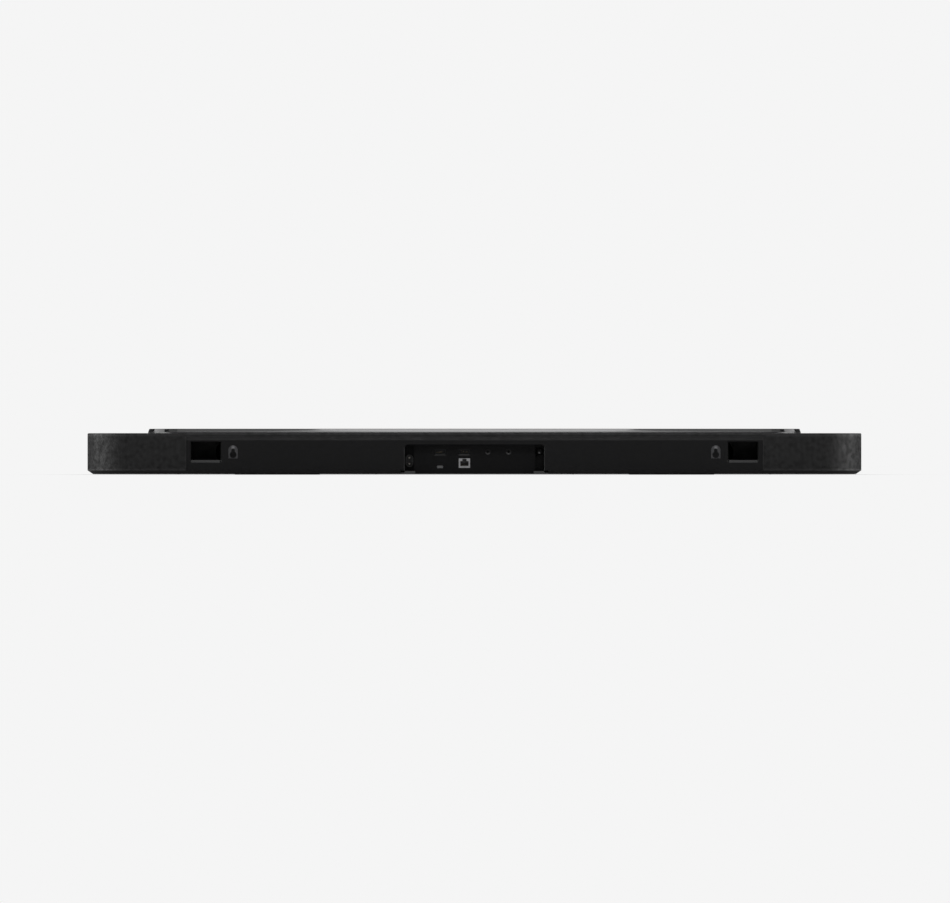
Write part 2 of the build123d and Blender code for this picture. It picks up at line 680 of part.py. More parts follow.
def make_lan_shield():
    # The sheet folds in over the front of the plastic, and its roof is notched above the latch
    place = Pos(LAN_X, base_top + LAN_RISE)
    shield = run(place * Rectangle(LAN_WIDTH, LAN_HEIGHT), io_board_face, bay_face)
    hollow = Rectangle(LAN_WIDTH - 2 * LAN_SHELL, LAN_HEIGHT - 2 * LAN_SHELL)
    shield -= run(place * hollow, io_board_face, bay_face - LAN_FACE)
    shield -= run(place * lan_mouth(), bay_face - LAN_FACE, bay_face)
    notch = Pos(0, LAN_HEIGHT / 4) * Rectangle(LAN_LATCH_WIDTH, LAN_HEIGHT / 2)
    return shield - run(place * notch, bay_face - LAN_NOTCH_DEPTH, bay_face)


def make_lan_insert():
    place = Pos(LAN_X, base_top + LAN_RISE)
    gap = LAN_SHELL + PRESS_GAP
    core = Rectangle(LAN_WIDTH - 2 * gap, LAN_HEIGHT - 2 * gap)
    face = bay_face - LAN_FACE - PRESS_GAP
    insert = run(place * core, io_board_face, face)
    return insert - run(place * lan_mouth(), bay_face - LAN_CAVITY_DEPTH, face)


def make_jack(x):
    place = Pos(x, base_top + JACK_RISE)
    jack = run(place * Circle(JACK_RADIUS), io_board_face, bay_face)
    jack += run(place * Rectangle(JACK_BODY, JACK_BODY), io_board_face, io_board_face + JACK_BODY_DEPTH)
    jack -= run(place * Circle(JACK_BORE_RADIUS), bay_face - JACK_BORE_DEPTH, bay_face)
    dish = [(bay_face - JACK_DISH_DEPTH, JACK_BORE_RADIUS), (bay_face, JACK_RADIUS - JACK_RIM)]
    return jack - flared([(y, place * Circle(radius)) for y, radius in dish])


# Power inlet: figure-eight cavity, its collar standing into the well
def inlet_cavity():
    lobes = Rectangle(INLET_LOBE_RADIUS, INLET_LOBE_SPACING)
    for s in (-1, 1):
        lobes += Pos(0, s * INLET_LOBE_SPACING / 2) * Circle(INLET_LOBE_RADIUS)
    return lobes


def inlet_outline(grow):
    height = INLET_LOBE_SPACING + 2 * (INLET_LOBE_RADIUS + grow)
    return Rot(0, 0, 90) * SlotOverall(height, 2 * (INLET_LOBE_RADIUS + grow))


def make_inlet():
    place = Pos(well_x, base_top + INLET_RISE)
    face = well_face + INLET_COLLAR
    inlet = run(place * inlet_outline(INLET_SHROUD), inlet_back, face)
    flange = place * RectangleRounded(WELL_WIDTH, INLET_FLANGE_HEIGHT, INLET_FLANGE_THICKNESS)
    inlet += run(flange, well_back - INLET_FLANGE_THICKNESS, well_back)
    return inlet - run(place * inlet_cavity(), face - INLET_CAVITY, face)


def make_inlet_pins():
    back = well_face + INLET_COLLAR - INLET_CAVITY
    pin = run(Circle(INLET_PIN_RADIUS), back, back + INLET_PIN_REACH)
    z = base_top + INLET_RISE
    return [Pos(well_x, 0, z + s * INLET_PIN_SPACING / 2) * pin for s in (-1, 1)]


# Optical socket and shutter: the shutter hangs from two stub pins and folds inward
def shutter_axis():
    y = well_face + OPTICAL_COLLAR - SHUTTER_SETBACK - SHUTTER_THICKNESS / 2
    z = base_top + OPTICAL_RISE + OPTICAL_MOUTH / 2 - SHUTTER_THICKNESS / 2
    return y, z


def make_optical():
    place = Pos(-well_x, base_top + OPTICAL_RISE)
    face = well_face + OPTICAL_COLLAR
    socket = run(place * Rectangle(OPTICAL_SIZE, OPTICAL_SIZE), well_face - OPTICAL_BODY_DEPTH, face)
    deep = face - OPTICAL_CAVITY_DEPTH
    socket -= run(place * Rectangle(OPTICAL_MOUTH, OPTICAL_MOUTH), deep, face)
    roof = Rectangle(OPTICAL_MOUTH, OPTICAL_ROOF_RECESS)
    roof = place * Pos(0, (OPTICAL_MOUTH + OPTICAL_ROOF_RECESS) / 2) * roof
    socket -= run(roof, deep, face - SHUTTER_SETBACK / 2)
    y, z = shutter_axis()
    reach = OPTICAL_MOUTH + 2 * (SHUTTER_PIN_REACH + PIVOT_PLAY)
    hole = Cylinder(SHUTTER_PIN_RADIUS + PIVOT_PLAY, reach, rotation=(0, 90, 0))
    return socket - Pos(-well_x, y, z) * hole


def make_shutter():
    y, z = shutter_axis()
    half = OPTICAL_MOUTH / 2 - SHUTTER_SIDE_GAP
    low = (-half, -SHUTTER_THICKNESS / 2, SHUTTER_THICKNESS / 2 - OPTICAL_MOUTH + SHUTTER_SIDE_GAP)
    flap = block(low, (half, SHUTTER_THICKNESS / 2, 0))
    flap += Cylinder(SHUTTER_THICKNESS / 2, 2 * half, rotation=(0, 90, 0))
    flap += Cylinder(SHUTTER_PIN_RADIUS, OPTICAL_MOUTH + 2 * SHUTTER_PIN_REACH, rotation=(0, 90, 0))
    return Pos(-well_x, y, z) * flap


# Drivers are made about their own axis, firing along +Z, with the flange standing on Z = 0
def woofer_outline(inset):
    return SlotOverall(WOOFER_LENGTH - 2 * inset, woofer_height - 2 * inset)


def upfire_outline(inset):
    return Circle(UPFIRE_RADIUS - inset)


def woofer_places():
    first = ELECTRONICS_HALF + CABINET_WALL + WOOFER_SIDE_GAP + WOOFER_LENGTH / 2
    return [-first - WOOFER_PITCH, -first, first, first + WOOFER_PITCH]


def ruled(low_sketch, low, high_sketch, high):
    return loft([Pos(0, 0, low) * low_sketch, Pos(0, 0, high) * high_sketch], ruled=True)


def make_frame(outline, back, back_inner, depth, windows):
    frame = rise(outline(0), 0, FLANGE_THICKNESS)
    frame += ruled(back, -depth, outline(FLANGE_RIM + FIT), 0)
    frame -= ruled(back_inner, -depth, outline(FLANGE_RIM + FIT + BASKET_WALL), 0)
    frame -= rise(outline(FLANGE_RIM + LEDGE_WIDTH), 0, FLANGE_THICKNESS)
    frame -= rise(outline(FLANGE_RIM), FLANGE_THICKNESS - LEDGE_DEPTH, FLANGE_THICKNESS)
    for window in windows:
        frame -= Pos(0, 0, -depth / 2) * window
    frame += rise(back - Circle(COIL_RADIUS + 2 * COIL_GAP), -depth - BACK_PLATE, -depth)
    return frame


def make_roll(outline):
    outer = FLANGE_RIM + FIT / 2
    base = FLANGE_THICKNESS - LEDGE_DEPTH
    roll = rise(outline(outer) - outline(outer + ROLL_WIDTH), base, base + ROLL_HEIGHT)
    crown = roll.faces().sort_by(Axis.Z)[-1].edges()
    return fillet(crown, min(ROLL_WIDTH / 2, ROLL_HEIGHT) - FIT)


def make_cone(outline):
    rim = FLANGE_RIM + FIT / 2 + ROLL_WIDTH + COIL_GAP
    top = FLANGE_THICKNESS
    base = top - CONE_DEPTH
    cone = ruled(outline(rim + CONE_DRAW), base, outline(rim), top)
    hollow = rim + CONE_WALL
    cone -= ruled(outline(hollow + CONE_DRAW), base + CONE_WALL, outline(hollow), top)
    ball = (COIL_RADIUS**2 + CAP_RISE**2) / (2 * CAP_RISE)
    cap = Pos(0, 0, base + CAP_RISE - ball) * Sphere(ball)
    cone += cap & rise(Circle(COIL_RADIUS), base, base + 2 * CAP_RISE)
    return cone + rise(Circle(COIL_RADIUS) - Circle(COIL_RADIUS - COIL_WALL), base - COIL_LENGTH, base)


def make_motor(depth):
    front = -depth - BACK_PLATE
    gap = COIL_RADIUS + COIL_GAP
    pole = COIL_RADIUS - COIL_WALL - COIL_GAP
    ring_top = front - MOTOR_PLATE
    ring_low = ring_top - MOTOR_RING
    motor = rise(Circle(MOTOR_RADIUS) - Circle(gap), ring_top, front)
    motor += rise(Circle(MOTOR_RADIUS - MOTOR_STEP) - Circle(gap + MOTOR_STEP), ring_low, ring_top)
    motor += rise(Circle(MOTOR_RADIUS), ring_low - MOTOR_PLATE, ring_low)
    return motor + rise(Circle(pole), ring_low, front)


def woofer_windows():
    step = WOOFER_WINDOW + WOOFER_WINDOW_RIB
    size = Box(WOOFER_WINDOW, 2 * woofer_height, WOOFER_BASKET_DEPTH / 2)
    return [Pos(s * step / 2) * size for s in (-1, 1)]


def upfire_windows():
    size = Box(UPFIRE_WINDOW, 2 * UPFIRE_RADIUS, UPFIRE_BASKET_DEPTH / 2)
    return [Rot(0, 0, turn) * size for turn in (0, 90)]


def woofer_parts():
    back = SlotOverall(WOOFER_BACK_LENGTH, WOOFER_BACK_HEIGHT)
    back_inner = SlotOverall(WOOFER_BACK_LENGTH - 2 * BASKET_WALL, WOOFER_BACK_HEIGHT - 2 * BASKET_WALL)
    return {
        "frame": make_frame(woofer_outline, back, back_inner, WOOFER_BASKET_DEPTH, woofer_windows()),
        "surround": make_roll(woofer_outline),
        "cone": make_cone(woofer_outline),
        "magnet": make_motor(WOOFER_BASKET_DEPTH),
    }


def upfire_parts():
    back = Circle(UPFIRE_BACK_RADIUS)
    back_inner = Circle(UPFIRE_BACK_RADIUS - BASKET_WALL)
    return {
        "frame": make_frame(upfire_outline, back, back_inner, UPFIRE_BASKET_DEPTH, upfire_windows()),
        "surround": make_roll(upfire_outline),
        "cone": make_cone(upfire_outline),
        "magnet": make_motor(UPFIRE_BASKET_DEPTH),
    }


def tweeter_parts():
    plate = rise(Circle(TWEETER_RADIUS) - Circle(DOME_RADIUS + DOME_SIDE_GAP), 0, TWEETER_PLATE)
    ball = (DOME_RADIUS**2 + DOME_RISE**2) / (2 * DOME_RISE)
    middle = TWEETER_PLATE / 2 + DOME_RISE - ball
    shell = Sphere(ball) - Sphere(ball - DOME_WALL)
    zone = rise(Circle(DOME_RADIUS), TWEETER_PLATE / 2, TWEETER_PLATE + DOME_RISE)
    dome = Pos(0, 0, middle) * shell & zone
    coil_low = TWEETER_PLATE / 2 - DOME_COIL_LENGTH
    rim = Circle(DOME_RADIUS) - Circle(DOME_RADIUS - 2 * DOME_WALL)
    dome += rise(rim, coil_low, TWEETER_PLATE / 2 + DOME_WALL / 2)
    motor = rise(Circle(TWEETER_MOTOR_RADIUS), -TWEETER_MOTOR_DEPTH, 0)
    floor = coil_low - TWEETER_PLATE
    motor -= rise(Circle(DOME_RADIUS + COIL_GAP), floor, 0)
    motor += rise(Circle(DOME_RADIUS - 2 * DOME_WALL - COIL_GAP), floor, 0)
    return {"frame": plate, "dome": dome, "magnet": motor}


# Electronics on the cabinet's floor
def board_outline(side):
    near = BOARD_MIDDLE_GAP / 2
    far = ELECTRONICS_HALF - BOARD_SIDE_GAP
    return sorted((side * near, side * far))


def standoff_places():
    near = board_front + STANDOFF_INSET
    far = board_rear - STANDOFF_INSET
    edges = [x for side in (-1, 1) for x in board_outline(side)]
    inset = [x + STANDOFF_INSET if i % 2 == 0 else x - STANDOFF_INSET for i, x in enumerate(edges)]
    return [(x, y) for x in inset for y in (near, far)]


def make_board(side):
    low, high = board_outline(side)
    return block((low, board_front, board_z), (high, board_rear, board_z + BOARD_THICKNESS))


def make_sink():
    x = sum(board_outline(-1)) / 2
    floor = board_z + BOARD_THICKNESS
    sink = rise(Rectangle(SINK_LENGTH, SINK_DEPTH), floor, floor + SINK_BASE)
    step = (SINK_LENGTH - SINK_FIN_WALL) / (SINK_FINS - 1)
    fin = Rectangle(SINK_FIN_WALL, SINK_DEPTH)
    first = SINK_FIN_WALL / 2 - SINK_LENGTH / 2
    for i in range(SINK_FINS):
        sink += rise(Pos(first + i * step) * fin, floor + SINK_BASE, floor + SINK_BASE + SINK_FIN_HEIGHT)
    return Pos(x, board_middle) * sink


def make_transformer():
    x = board_outline(1)[1] - TRANSFORMER_LENGTH / 2 - BOARD_SIDE_GAP
    floor = board_z + BOARD_THICKNESS
    core = rise(Rectangle(TRANSFORMER_LENGTH, CORE_DEPTH), floor, floor + TRANSFORMER_HEIGHT)
    low = floor + (TRANSFORMER_HEIGHT - WINDING_HEIGHT) / 2
    winding = RectangleRounded(WINDING_LENGTH, TRANSFORMER_DEPTH, WINDING_CORNER)
    core += rise(winding, low, low + WINDING_HEIGHT)
    return Pos(x, board_middle) * core


def make_capacitors():
    y = board_rear - CAPACITOR_FROM_EDGE
    first = board_outline(1)[0] + CAPACITOR_FROM_EDGE
    floor = board_z + BOARD_THICKNESS
    can = rise(Circle(CAPACITOR_RADIUS), floor, floor + CAPACITOR_HEIGHT)
    step = 2 * CAPACITOR_RADIUS + CAPACITOR_GAP
    return [Pos(first + i * step, y) * can for i in range(2)]


def make_light():
    wall = cabinet_front + CABINET_WALL
    lens = Pos(LIGHT_X, driver_z) * RectangleRounded(LIGHT_LENGTH, LIGHT_HEIGHT, LIGHT_CORNER)
    lamp = run(lens, cabinet_front - LIGHT_REACH, wall)
    flange = Rectangle(LIGHT_LENGTH + 2 * LIGHT_FLANGE, LIGHT_HEIGHT + 2 * LIGHT_FLANGE)
    return lamp + run(Pos(LIGHT_X, driver_z) * flange, wall, wall + LIGHT_FLANGE_THICKNESS)


# Every piece by name
def all_parts():
    pieces = {
        "rubber_feet": make_feet(),
        "base_plate": make_base(),
        "case_screws": make_screws(),
        "cabinet": make_cabinet(),
        "top_deck": make_deck(),
        "grille_wrap": make_wrap(),
        "glass_tray": make_tray(),
        "touch_board": make_touch_board(),
        "top_glass": make_glass(),
        "rear_panel": make_panel(),
        "connector_bay": make_bay(),
        "port_duct_left": make_duct(-port_x),
        "port_duct_right": make_duct(port_x),
        "hanger_plate_left": make_hanger(-hanger_x),
        "hanger_plate_right": make_hanger(hanger_x),
        "io_board": make_io_board(),
        "hdmi_socket_1": make_hdmi(HDMI_X[0]),
        "hdmi_socket_2": make_hdmi(HDMI_X[1]),
        "usb_socket": make_usb(),
        "ethernet_shield": make_lan_shield(),
        "ethernet_insert": make_lan_insert(),
        "audio_jack_1": make_jack(JACK_X[0]),
        "audio_jack_2": make_jack(JACK_X[1]),
        "power_inlet": make_inlet(),
        "inlet_pins": make_inlet_pins(),
        "optical_socket": make_optical(),
        "optical_shutter": make_shutter(),
        "main_board": make_board(-1),
        "heat_sink": make_sink(),
        "power_board": make_board(1),
        "transformer": make_transformer(),
        "capacitors": make_capacitors(),
        "status_light": make_light(),
    }
    facing_front = dict(x_dir=(1, 0, 0), z_dir=(0, -1, 0))
    for number, x in enumerate(woofer_places(), start=1):
        seat = Plane(origin=(x, cabinet_front, driver_z), **facing_front)
        for name, part in woofer_parts().items():
            pieces[f"woofer_{name}_{number}"] = seat.location * part
    seat = Plane(origin=(0, cabinet_front, driver_z), **facing_front)
    for name, part in tweeter_parts().items():
        pieces[f"tweeter_{name}"] = seat.location * part
    for side, x in (("left", -upfire_x), ("right", upfire_x)):
        for name, part in upfire_parts().items():
            pieces[f"upfire_{name}_{side}"] = Pos(x, 0, deck_bottom - FLANGE_THICKNESS) * part
    return pieces


os.makedirs("parts", exist_ok=True)
for node, shape in all_parts().items():
    if isinstance(shape, list):
        shape = Compound(children=shape)
    export_step(shape, f"parts/{node}.step")
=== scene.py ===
from math import atan2, cos, pi, radians, sin

import bpy
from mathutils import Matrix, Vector


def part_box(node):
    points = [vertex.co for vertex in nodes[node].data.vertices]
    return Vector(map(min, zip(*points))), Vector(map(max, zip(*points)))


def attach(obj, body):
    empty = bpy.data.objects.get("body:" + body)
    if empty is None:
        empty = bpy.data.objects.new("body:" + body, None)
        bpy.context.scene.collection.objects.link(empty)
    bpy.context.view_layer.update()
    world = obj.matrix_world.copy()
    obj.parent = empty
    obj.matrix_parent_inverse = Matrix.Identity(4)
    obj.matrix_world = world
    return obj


# The looks of a black soundbar, in metres, seen from behind: X along its length, +Y out of the
# connectors, Z up. The solids come from the frame; this file gives them their finishes and adds
# the wrap's perforations, the socket contacts, the screw drives and the touch marks.

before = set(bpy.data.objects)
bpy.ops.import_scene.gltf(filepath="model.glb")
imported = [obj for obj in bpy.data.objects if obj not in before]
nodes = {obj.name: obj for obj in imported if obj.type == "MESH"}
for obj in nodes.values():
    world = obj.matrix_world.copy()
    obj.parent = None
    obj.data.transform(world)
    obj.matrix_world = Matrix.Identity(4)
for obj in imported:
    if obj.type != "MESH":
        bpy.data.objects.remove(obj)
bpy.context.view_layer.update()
scene = bpy.context.scene

MM = 0.001

FLOAT = "NodeSocketFloat"
VECTOR = "NodeSocketVector"
INTEGER = "NodeSocketInt"
GEOMETRY = "NodeSocketGeometry"
MATERIAL = "NodeSocketMaterial"


# Places read from the frame
wrap_low, wrap_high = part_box("grille_wrap")
glass_low, glass_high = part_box("top_glass")
panel_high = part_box("rear_panel")[1]
plate_low, plate_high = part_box("hanger_plate_right")
shutter_low, shutter_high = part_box("optical_shutter")
half_length = wrap_high.x
half_depth = wrap_high.y


# Node helpers
def add(tree, kind, values=None, **settings):
    """A new node with its settings and the values of its inputs."""
    node = tree.nodes.new(kind)
    for key, value in settings.items():
        setattr(node, key, value)
    for key, value in (values or {}).items():
        node.inputs[key].default_value = value
    return node


def join(tree, source, target):
    tree.links.new(source, target)


def feed(tree, node, values):
    """Plain numbers and tuples are set on a node's inputs in turn, sockets are linked to them."""
    for slot, value in enumerate(values):
        if value is None:
            continue
        if isinstance(value, (int, float, tuple)):
            node.inputs[slot].default_value = value
        else:
            join(tree, value, node.inputs[slot])


def math(tree, operation, first, second=None, third=None):
    node = add(tree, "ShaderNodeMath", operation=operation)
    feed(tree, node, (first, second, third))
    return node.outputs[0]


def vector_math(tree, operation, first, second=None):
    node = add(tree, "ShaderNodeVectorMath", operation=operation)
    feed(tree, node, (first, second))
    return node.outputs["Value" if operation == "LENGTH" else "Vector"]


def scaled(tree, vector, factor):
    node = add(tree, "ShaderNodeVectorMath", operation="SCALE")
    join(tree, vector, node.inputs[0])
    join(tree, factor, node.inputs["Scale"])
    return node.outputs["Vector"]


def remap(tree, value, limits, **settings):
    node = add(tree, "ShaderNodeMapRange", limits, **settings)
    join(tree, value, node.inputs["Value"])
    return node.outputs["Result"]


def spread(tree, mask, low, high):
    return remap(tree, mask, {"To Min": low, "To Max": high})


def apart(tree, vector):
    """The coordinates of a vector."""
    node = add(tree, "ShaderNodeSeparateXYZ")
    join(tree, vector, node.inputs[0])
    return node.outputs


def together(tree, **parts):
    """A vector from its coordinates, zero where none is given."""
    node = add(tree, "ShaderNodeCombineXYZ")
    for axis, value in parts.items():
        join(tree, value, node.inputs[axis])
    return node.outputs[0]


def noise(tree, place, values):
    node = add(tree, "ShaderNodeTexNoise", values)
    join(tree, place, node.inputs["Vector"])
    return node


def facing_up(tree):
    """How far a face looks up: one for level, nought for upright."""
    return apart(tree, add(tree, "ShaderNodeNewGeometry").outputs["Normal"])["Z"]


def blend_colours(tree, mask, first, second):
    node = add(tree, "ShaderNodeMix", data_type="RGBA")
    join(tree, mask, node.inputs["Factor"])
    for slot, value in ((6, first), (7, second)):
        if isinstance(value, tuple):
            node.inputs[slot].default_value = (*value, 1.0)
        else:
            join(tree, value, node.inputs[slot])
    return node.outputs[2]


def blend_values(tree, mask, first, second):
    node = add(tree, "ShaderNodeMix", data_type="FLOAT")
    join(tree, mask, node.inputs["Factor"])
    join(tree, first, node.inputs["A"])
    node.inputs["B"].default_value = second
    return node.outputs["Result"]


# Shader groups
ALONG_X = (40.0, 900.0, 900.0)
ROUND_HEADS = (700.0, 700.0, 60.0)
LIP_FADE = 0.05
RAGGED_SHARE = 0.4


def shader_group(name, inputs, outputs):
    group = bpy.data.node_groups.new(name, "ShaderNodeTree")
    for label, kind, value in inputs:
        socket = group.interface.new_socket(label, in_out="INPUT", socket_type=kind)
        if value is not None:
            socket.default_value = value
    for label in outputs:
        group.interface.new_socket(label, in_out="OUTPUT", socket_type=FLOAT)
    start = group.nodes.new("NodeGroupInput")
    end = group.nodes.new("NodeGroupOutput")
    return group, start.outputs, end.inputs


def make_surface_group():
    """A moulded or sprayed surface: a slow mottle and a fine grain."""
    group, given, result = shader_group(
        "surface_grain",
        [("Place", VECTOR, None), ("Mottle Size", FLOAT, 0.006), ("Grain Size", FLOAT, 0.0006)],
        ["Mottle", "Grain"],
    )
    slow = noise(group, given["Place"], {"Detail": 3.0, "Roughness": 0.6})
    fine = noise(group, given["Place"], {"Detail": 2.0, "Roughness": 0.55})
    for texture, size in ((slow, "Mottle Size"), (fine, "Grain Size")):
        join(group, math(group, "DIVIDE", 1.0, given[size]), texture.inputs["Scale"])
    stretched = remap(group, slow.outputs["Fac"], {"From Min": 0.36, "From Max": 0.64})
    join(group, stretched, result["Mottle"])
    join(group, fine.outputs["Fac"], result["Grain"])
    return group


def make_dust_group():
    """Dust that settles on faces that look up."""
    group, given, result = shader_group(
        "settled_dust",
        [("Place", VECTOR, None), ("Amount", FLOAT, 0.1)],
        ["Dust"],
    )
    up = remap(group, facing_up(group), {"From Min": 0.5, "From Max": 1.0})
    specks = noise(group, given["Place"], {"Scale": 260.0, "Detail": 4.0, "Roughness": 0.7})
    cut = remap(group, specks.outputs["Fac"], {"From Min": 0.52, "From Max": 0.75})
    settled = math(group, "MULTIPLY", up, cut)
    join(group, math(group, "MULTIPLY", settled, given["Amount"]), result["Dust"])
    return group


def make_brush_group():
    """Lines drawn along one direction, for plated and rolled metal."""
    group, given, result = shader_group(
        "rolled_lines",
        [("Place", VECTOR, None), ("Along", VECTOR, ALONG_X)],
        ["Lines"],
    )
    stretched = vector_math(group, "MULTIPLY", given["Place"], given["Along"])
    lines = noise(group, stretched, {"Scale": 1.0, "Detail": 3.0, "Roughness": 0.6})
    join(group, lines.outputs["Fac"], result["Lines"])
    return group


def make_lip_group():
    """Lips that slope up: left smooth where the rest of a moulding is textured, and on the jacks also
    painted lighter as a painted highlight.
    """
    group, given, result = shader_group("sloping_lips", [("Slope", FLOAT, 0.45)], ["Lip"])
    edge = add(group, "ShaderNodeMapRange")
    join(group, facing_up(group), edge.inputs["Value"])
    join(group, math(group, "SUBTRACT", given["Slope"], LIP_FADE), edge.inputs["From Min"])
    join(group, math(group, "ADD", given["Slope"], LIP_FADE), edge.inputs["From Max"])
    join(group, edge.outputs["Result"], result["Lip"])
    return group


def make_glint_group():
    """A ragged lighter spot, a painted highlight, at the same place on both halves of the bar."""
    group, given, result = shader_group(
        "painted_glint_spot",
        [
            ("Place", VECTOR, None),
            ("Ragged", FLOAT, 0.5),
            ("Spot", VECTOR, None),
            ("Reach", FLOAT, 0.0026),
        ],
        ["Bare"],
    )
    half = vector_math(group, "ABSOLUTE", given["Place"])
    offset = vector_math(group, "SUBTRACT", half, given["Spot"])
    level = vector_math(group, "MULTIPLY", offset, (1.0, 0.0, 1.0))
    share = math(group, "DIVIDE", vector_math(group, "LENGTH", level), given["Reach"])
    ragged = math(group, "MULTIPLY_ADD", given["Ragged"], RAGGED_SHARE, share)
    join(group, remap(group, ragged, {"From Min": 1.5, "From Max": 0.4}), result["Bare"])
    return group


SURFACE = make_surface_group()
DUST = make_dust_group()
BRUSH = make_brush_group()
LIPS = make_lip_group()
GLINT_GROUP = make_glint_group()


# Finishes
DUST_COLOUR = (0.22, 0.21, 0.2)
GLASS_DUST = (0.3, 0.29, 0.28)


def new_material(name):
    """A material, its tree, its shader and the place on the piece."""
    material = bpy.data.materials.new(name)
    material.use_nodes = True
    tree = material.node_tree
    place = add(tree, "ShaderNodeTexCoord").outputs["Object"]
    return material, tree, tree.nodes["Principled BSDF"], place


def grouped(tree, group, place, values):
    node = tree.nodes.new("ShaderNodeGroup")
    node.node_tree = group
    if place is not None:
        join(tree, place, node.inputs["Place"])
    for label, value in values.items():
        node.inputs[label].default_value = value
    return node


def paint(tree, shader, colour, gloss):
    join(tree, colour, shader.inputs["Base Color"])
    join(tree, gloss, shader.inputs["Roughness"])


def bumped(tree, shader, height, strength, distance):
    bump = add(tree, "ShaderNodeBump", {"Strength": strength, "Distance": distance})
    join(tree, height, bump.inputs["Height"])
    join(tree, bump.outputs["Normal"], shader.inputs["Normal"])


def shifted(colour, share):
    return tuple(c * (1 + share) for c in colour)


def coated(name, colour, rough, drift=0.12, gloss_drift=0.05, mottle=0.008, grain=0.0006, depth=0.15,
           specular=0.5, dust=0.02, metallic=0.0, lip_rough=None, lip_slope=0.45, lip_highlight_colour=None):
    """Sprayed, moulded or rubbery: the colour drifts a little, the gloss with it, and up-facing lips may be
    smoother and painted lighter as a painted highlight.
    """
    material, tree, shader, place = new_material(name)
    surface = grouped(tree, SURFACE, place, {"Mottle Size": mottle, "Grain Size": grain})
    settled = grouped(tree, DUST, place, {"Amount": dust})
    base = blend_colours(tree, surface.outputs["Mottle"], shifted(colour, -drift), shifted(colour, drift))
    base = blend_colours(tree, settled.outputs["Dust"], base, DUST_COLOUR)
    gloss = spread(tree, surface.outputs["Mottle"], rough + gloss_drift, rough - gloss_drift)
    if lip_rough is not None:
        lips = grouped(tree, LIPS, None, {"Slope": lip_slope})
        gloss = blend_values(tree, lips.outputs["Lip"], gloss, lip_rough)
        # Up-facing lips painted a lighter colour: a painted highlight.
        if lip_highlight_colour is not None:
            base = blend_colours(tree, lips.outputs["Lip"], base, lip_highlight_colour)
    paint(tree, shader, base, gloss)
    bumped(tree, shader, surface.outputs["Grain"], depth, 0.2 * MM)
    shader.inputs["Specular IOR Level"].default_value = specular
    shader.inputs["Metallic"].default_value = metallic
    return material


def rolled(name, colour, rough, along=ALONG_X, drift=0.15, depth=0.08):
    """Unpainted or plated metal with rolling lines."""
    material, tree, shader, place = new_material(name)
    lines = grouped(tree, BRUSH, place, {"Along": along}).outputs["Lines"]
    base = blend_colours(tree, lines, shifted(colour, -drift), colour)
    paint(tree, shader, base, spread(tree, lines, rough * 0.75, rough * 1.3))
    bumped(tree, shader, lines, depth, 0.1 * MM)
    shader.inputs["Metallic"].default_value = 1.0
    return material


def steel_with_painted_glint(name, colour, glint_colour, spot, reach):
    """Blackened steel with a lighter ragged patch above the middle of each hanger plate, a painted highlight
    shaped like rubbed metal.
    """
    material, tree, shader, place = new_material(name)
    lines = grouped(tree, BRUSH, place, {}).outputs["Lines"]
    glint_mask = grouped(tree, GLINT_GROUP, place, {"Spot": spot, "Reach": reach})
    join(tree, lines, glint_mask.inputs["Ragged"])
    base = blend_colours(tree, glint_mask.outputs["Bare"], colour, glint_colour)
    paint(tree, shader, base, spread(tree, lines, 0.3, 0.48))
    bumped(tree, shader, lines, 0.08, 0.1 * MM)
    shader.inputs["Metallic"].default_value = 1.0
    return material


def plastic_with_painted_glint(name, colour, glint_colour, spot, reach):
    """Dark plastic with a pale ragged spot near its bottom edge, a painted highlight."""
    material, tree, shader, place = new_material(name)
    mottle = grouped(tree, SURFACE, place, {"Mottle Size": 0.003}).outputs["Mottle"]
    glint_mask = grouped(tree, GLINT_GROUP, place, {"Spot": spot, "Reach": reach})
    join(tree, mottle, glint_mask.inputs["Ragged"])
    base = blend_colours(tree, glint_mask.outputs["Bare"], colour, glint_colour)
    paint(tree, shader, base, spread(tree, mottle, 0.34, 0.26))
    shader.inputs["Specular IOR Level"].default_value = 0.1
    return material


def polished_glass(name, low, high):
    """Opaque black glass: faint smears, a little dust, and an edge ground duller towards the tray."""
    material, tree, shader, place = new_material(name)
    surface = grouped(tree, SURFACE, place, {"Mottle Size": 0.05, "Grain Size": 0.004}).outputs
    settled = grouped(tree, DUST, place, {"Amount": 0.015})
    base = blend_colours(tree, surface["Mottle"], (0.004, 0.004, 0.0045), (0.006, 0.006, 0.0065))
    base = blend_colours(tree, settled.outputs["Dust"], base, GLASS_DUST)
    smears = math(tree, "MULTIPLY", surface["Mottle"], surface["Grain"])
    ground = remap(tree, apart(tree, place)["Z"], {"From Min": high, "From Max": low, "To Max": 0.18})
    paint(tree, shader, base, math(tree, "ADD", spread(tree, smears, 0.03, 0.06), ground))
    shader.inputs["IOR"].default_value = 1.52
    return material


def solder_mask(name):
    """A green board with copper tracks under its mask."""
    material, tree, shader, place = new_material(name)
    cells = add(tree, "ShaderNodeTexVoronoi", {"Scale": 160.0}, distance="MANHATTAN")
    join(tree, place, cells.inputs["Vector"])
    tracks = remap(tree, cells.outputs["Distance"], {"From Min": 0.42, "From Max": 0.48})
    base = blend_colours(tree, tracks, (0.004, 0.012, 0.007), (0.01, 0.026, 0.015))
    paint(tree, shader, base, spread(tree, tracks, 0.45, 0.32))
    return material


def pressed_fibre(name):
    """The pressed fibre of the cones."""
    material, tree, shader, place = new_material(name)
    surface = grouped(tree, SURFACE, place, {"Mottle Size": 0.004, "Grain Size": 0.0012}).outputs
    base = blend_colours(tree, surface["Grain"], (0.012, 0.012, 0.013), (0.04, 0.04, 0.042))
    paint(tree, shader, base, spread(tree, surface["Mottle"], 0.8, 0.6))
    bumped(tree, shader, surface["Grain"], 0.4, 0.3 * MM)
    return material


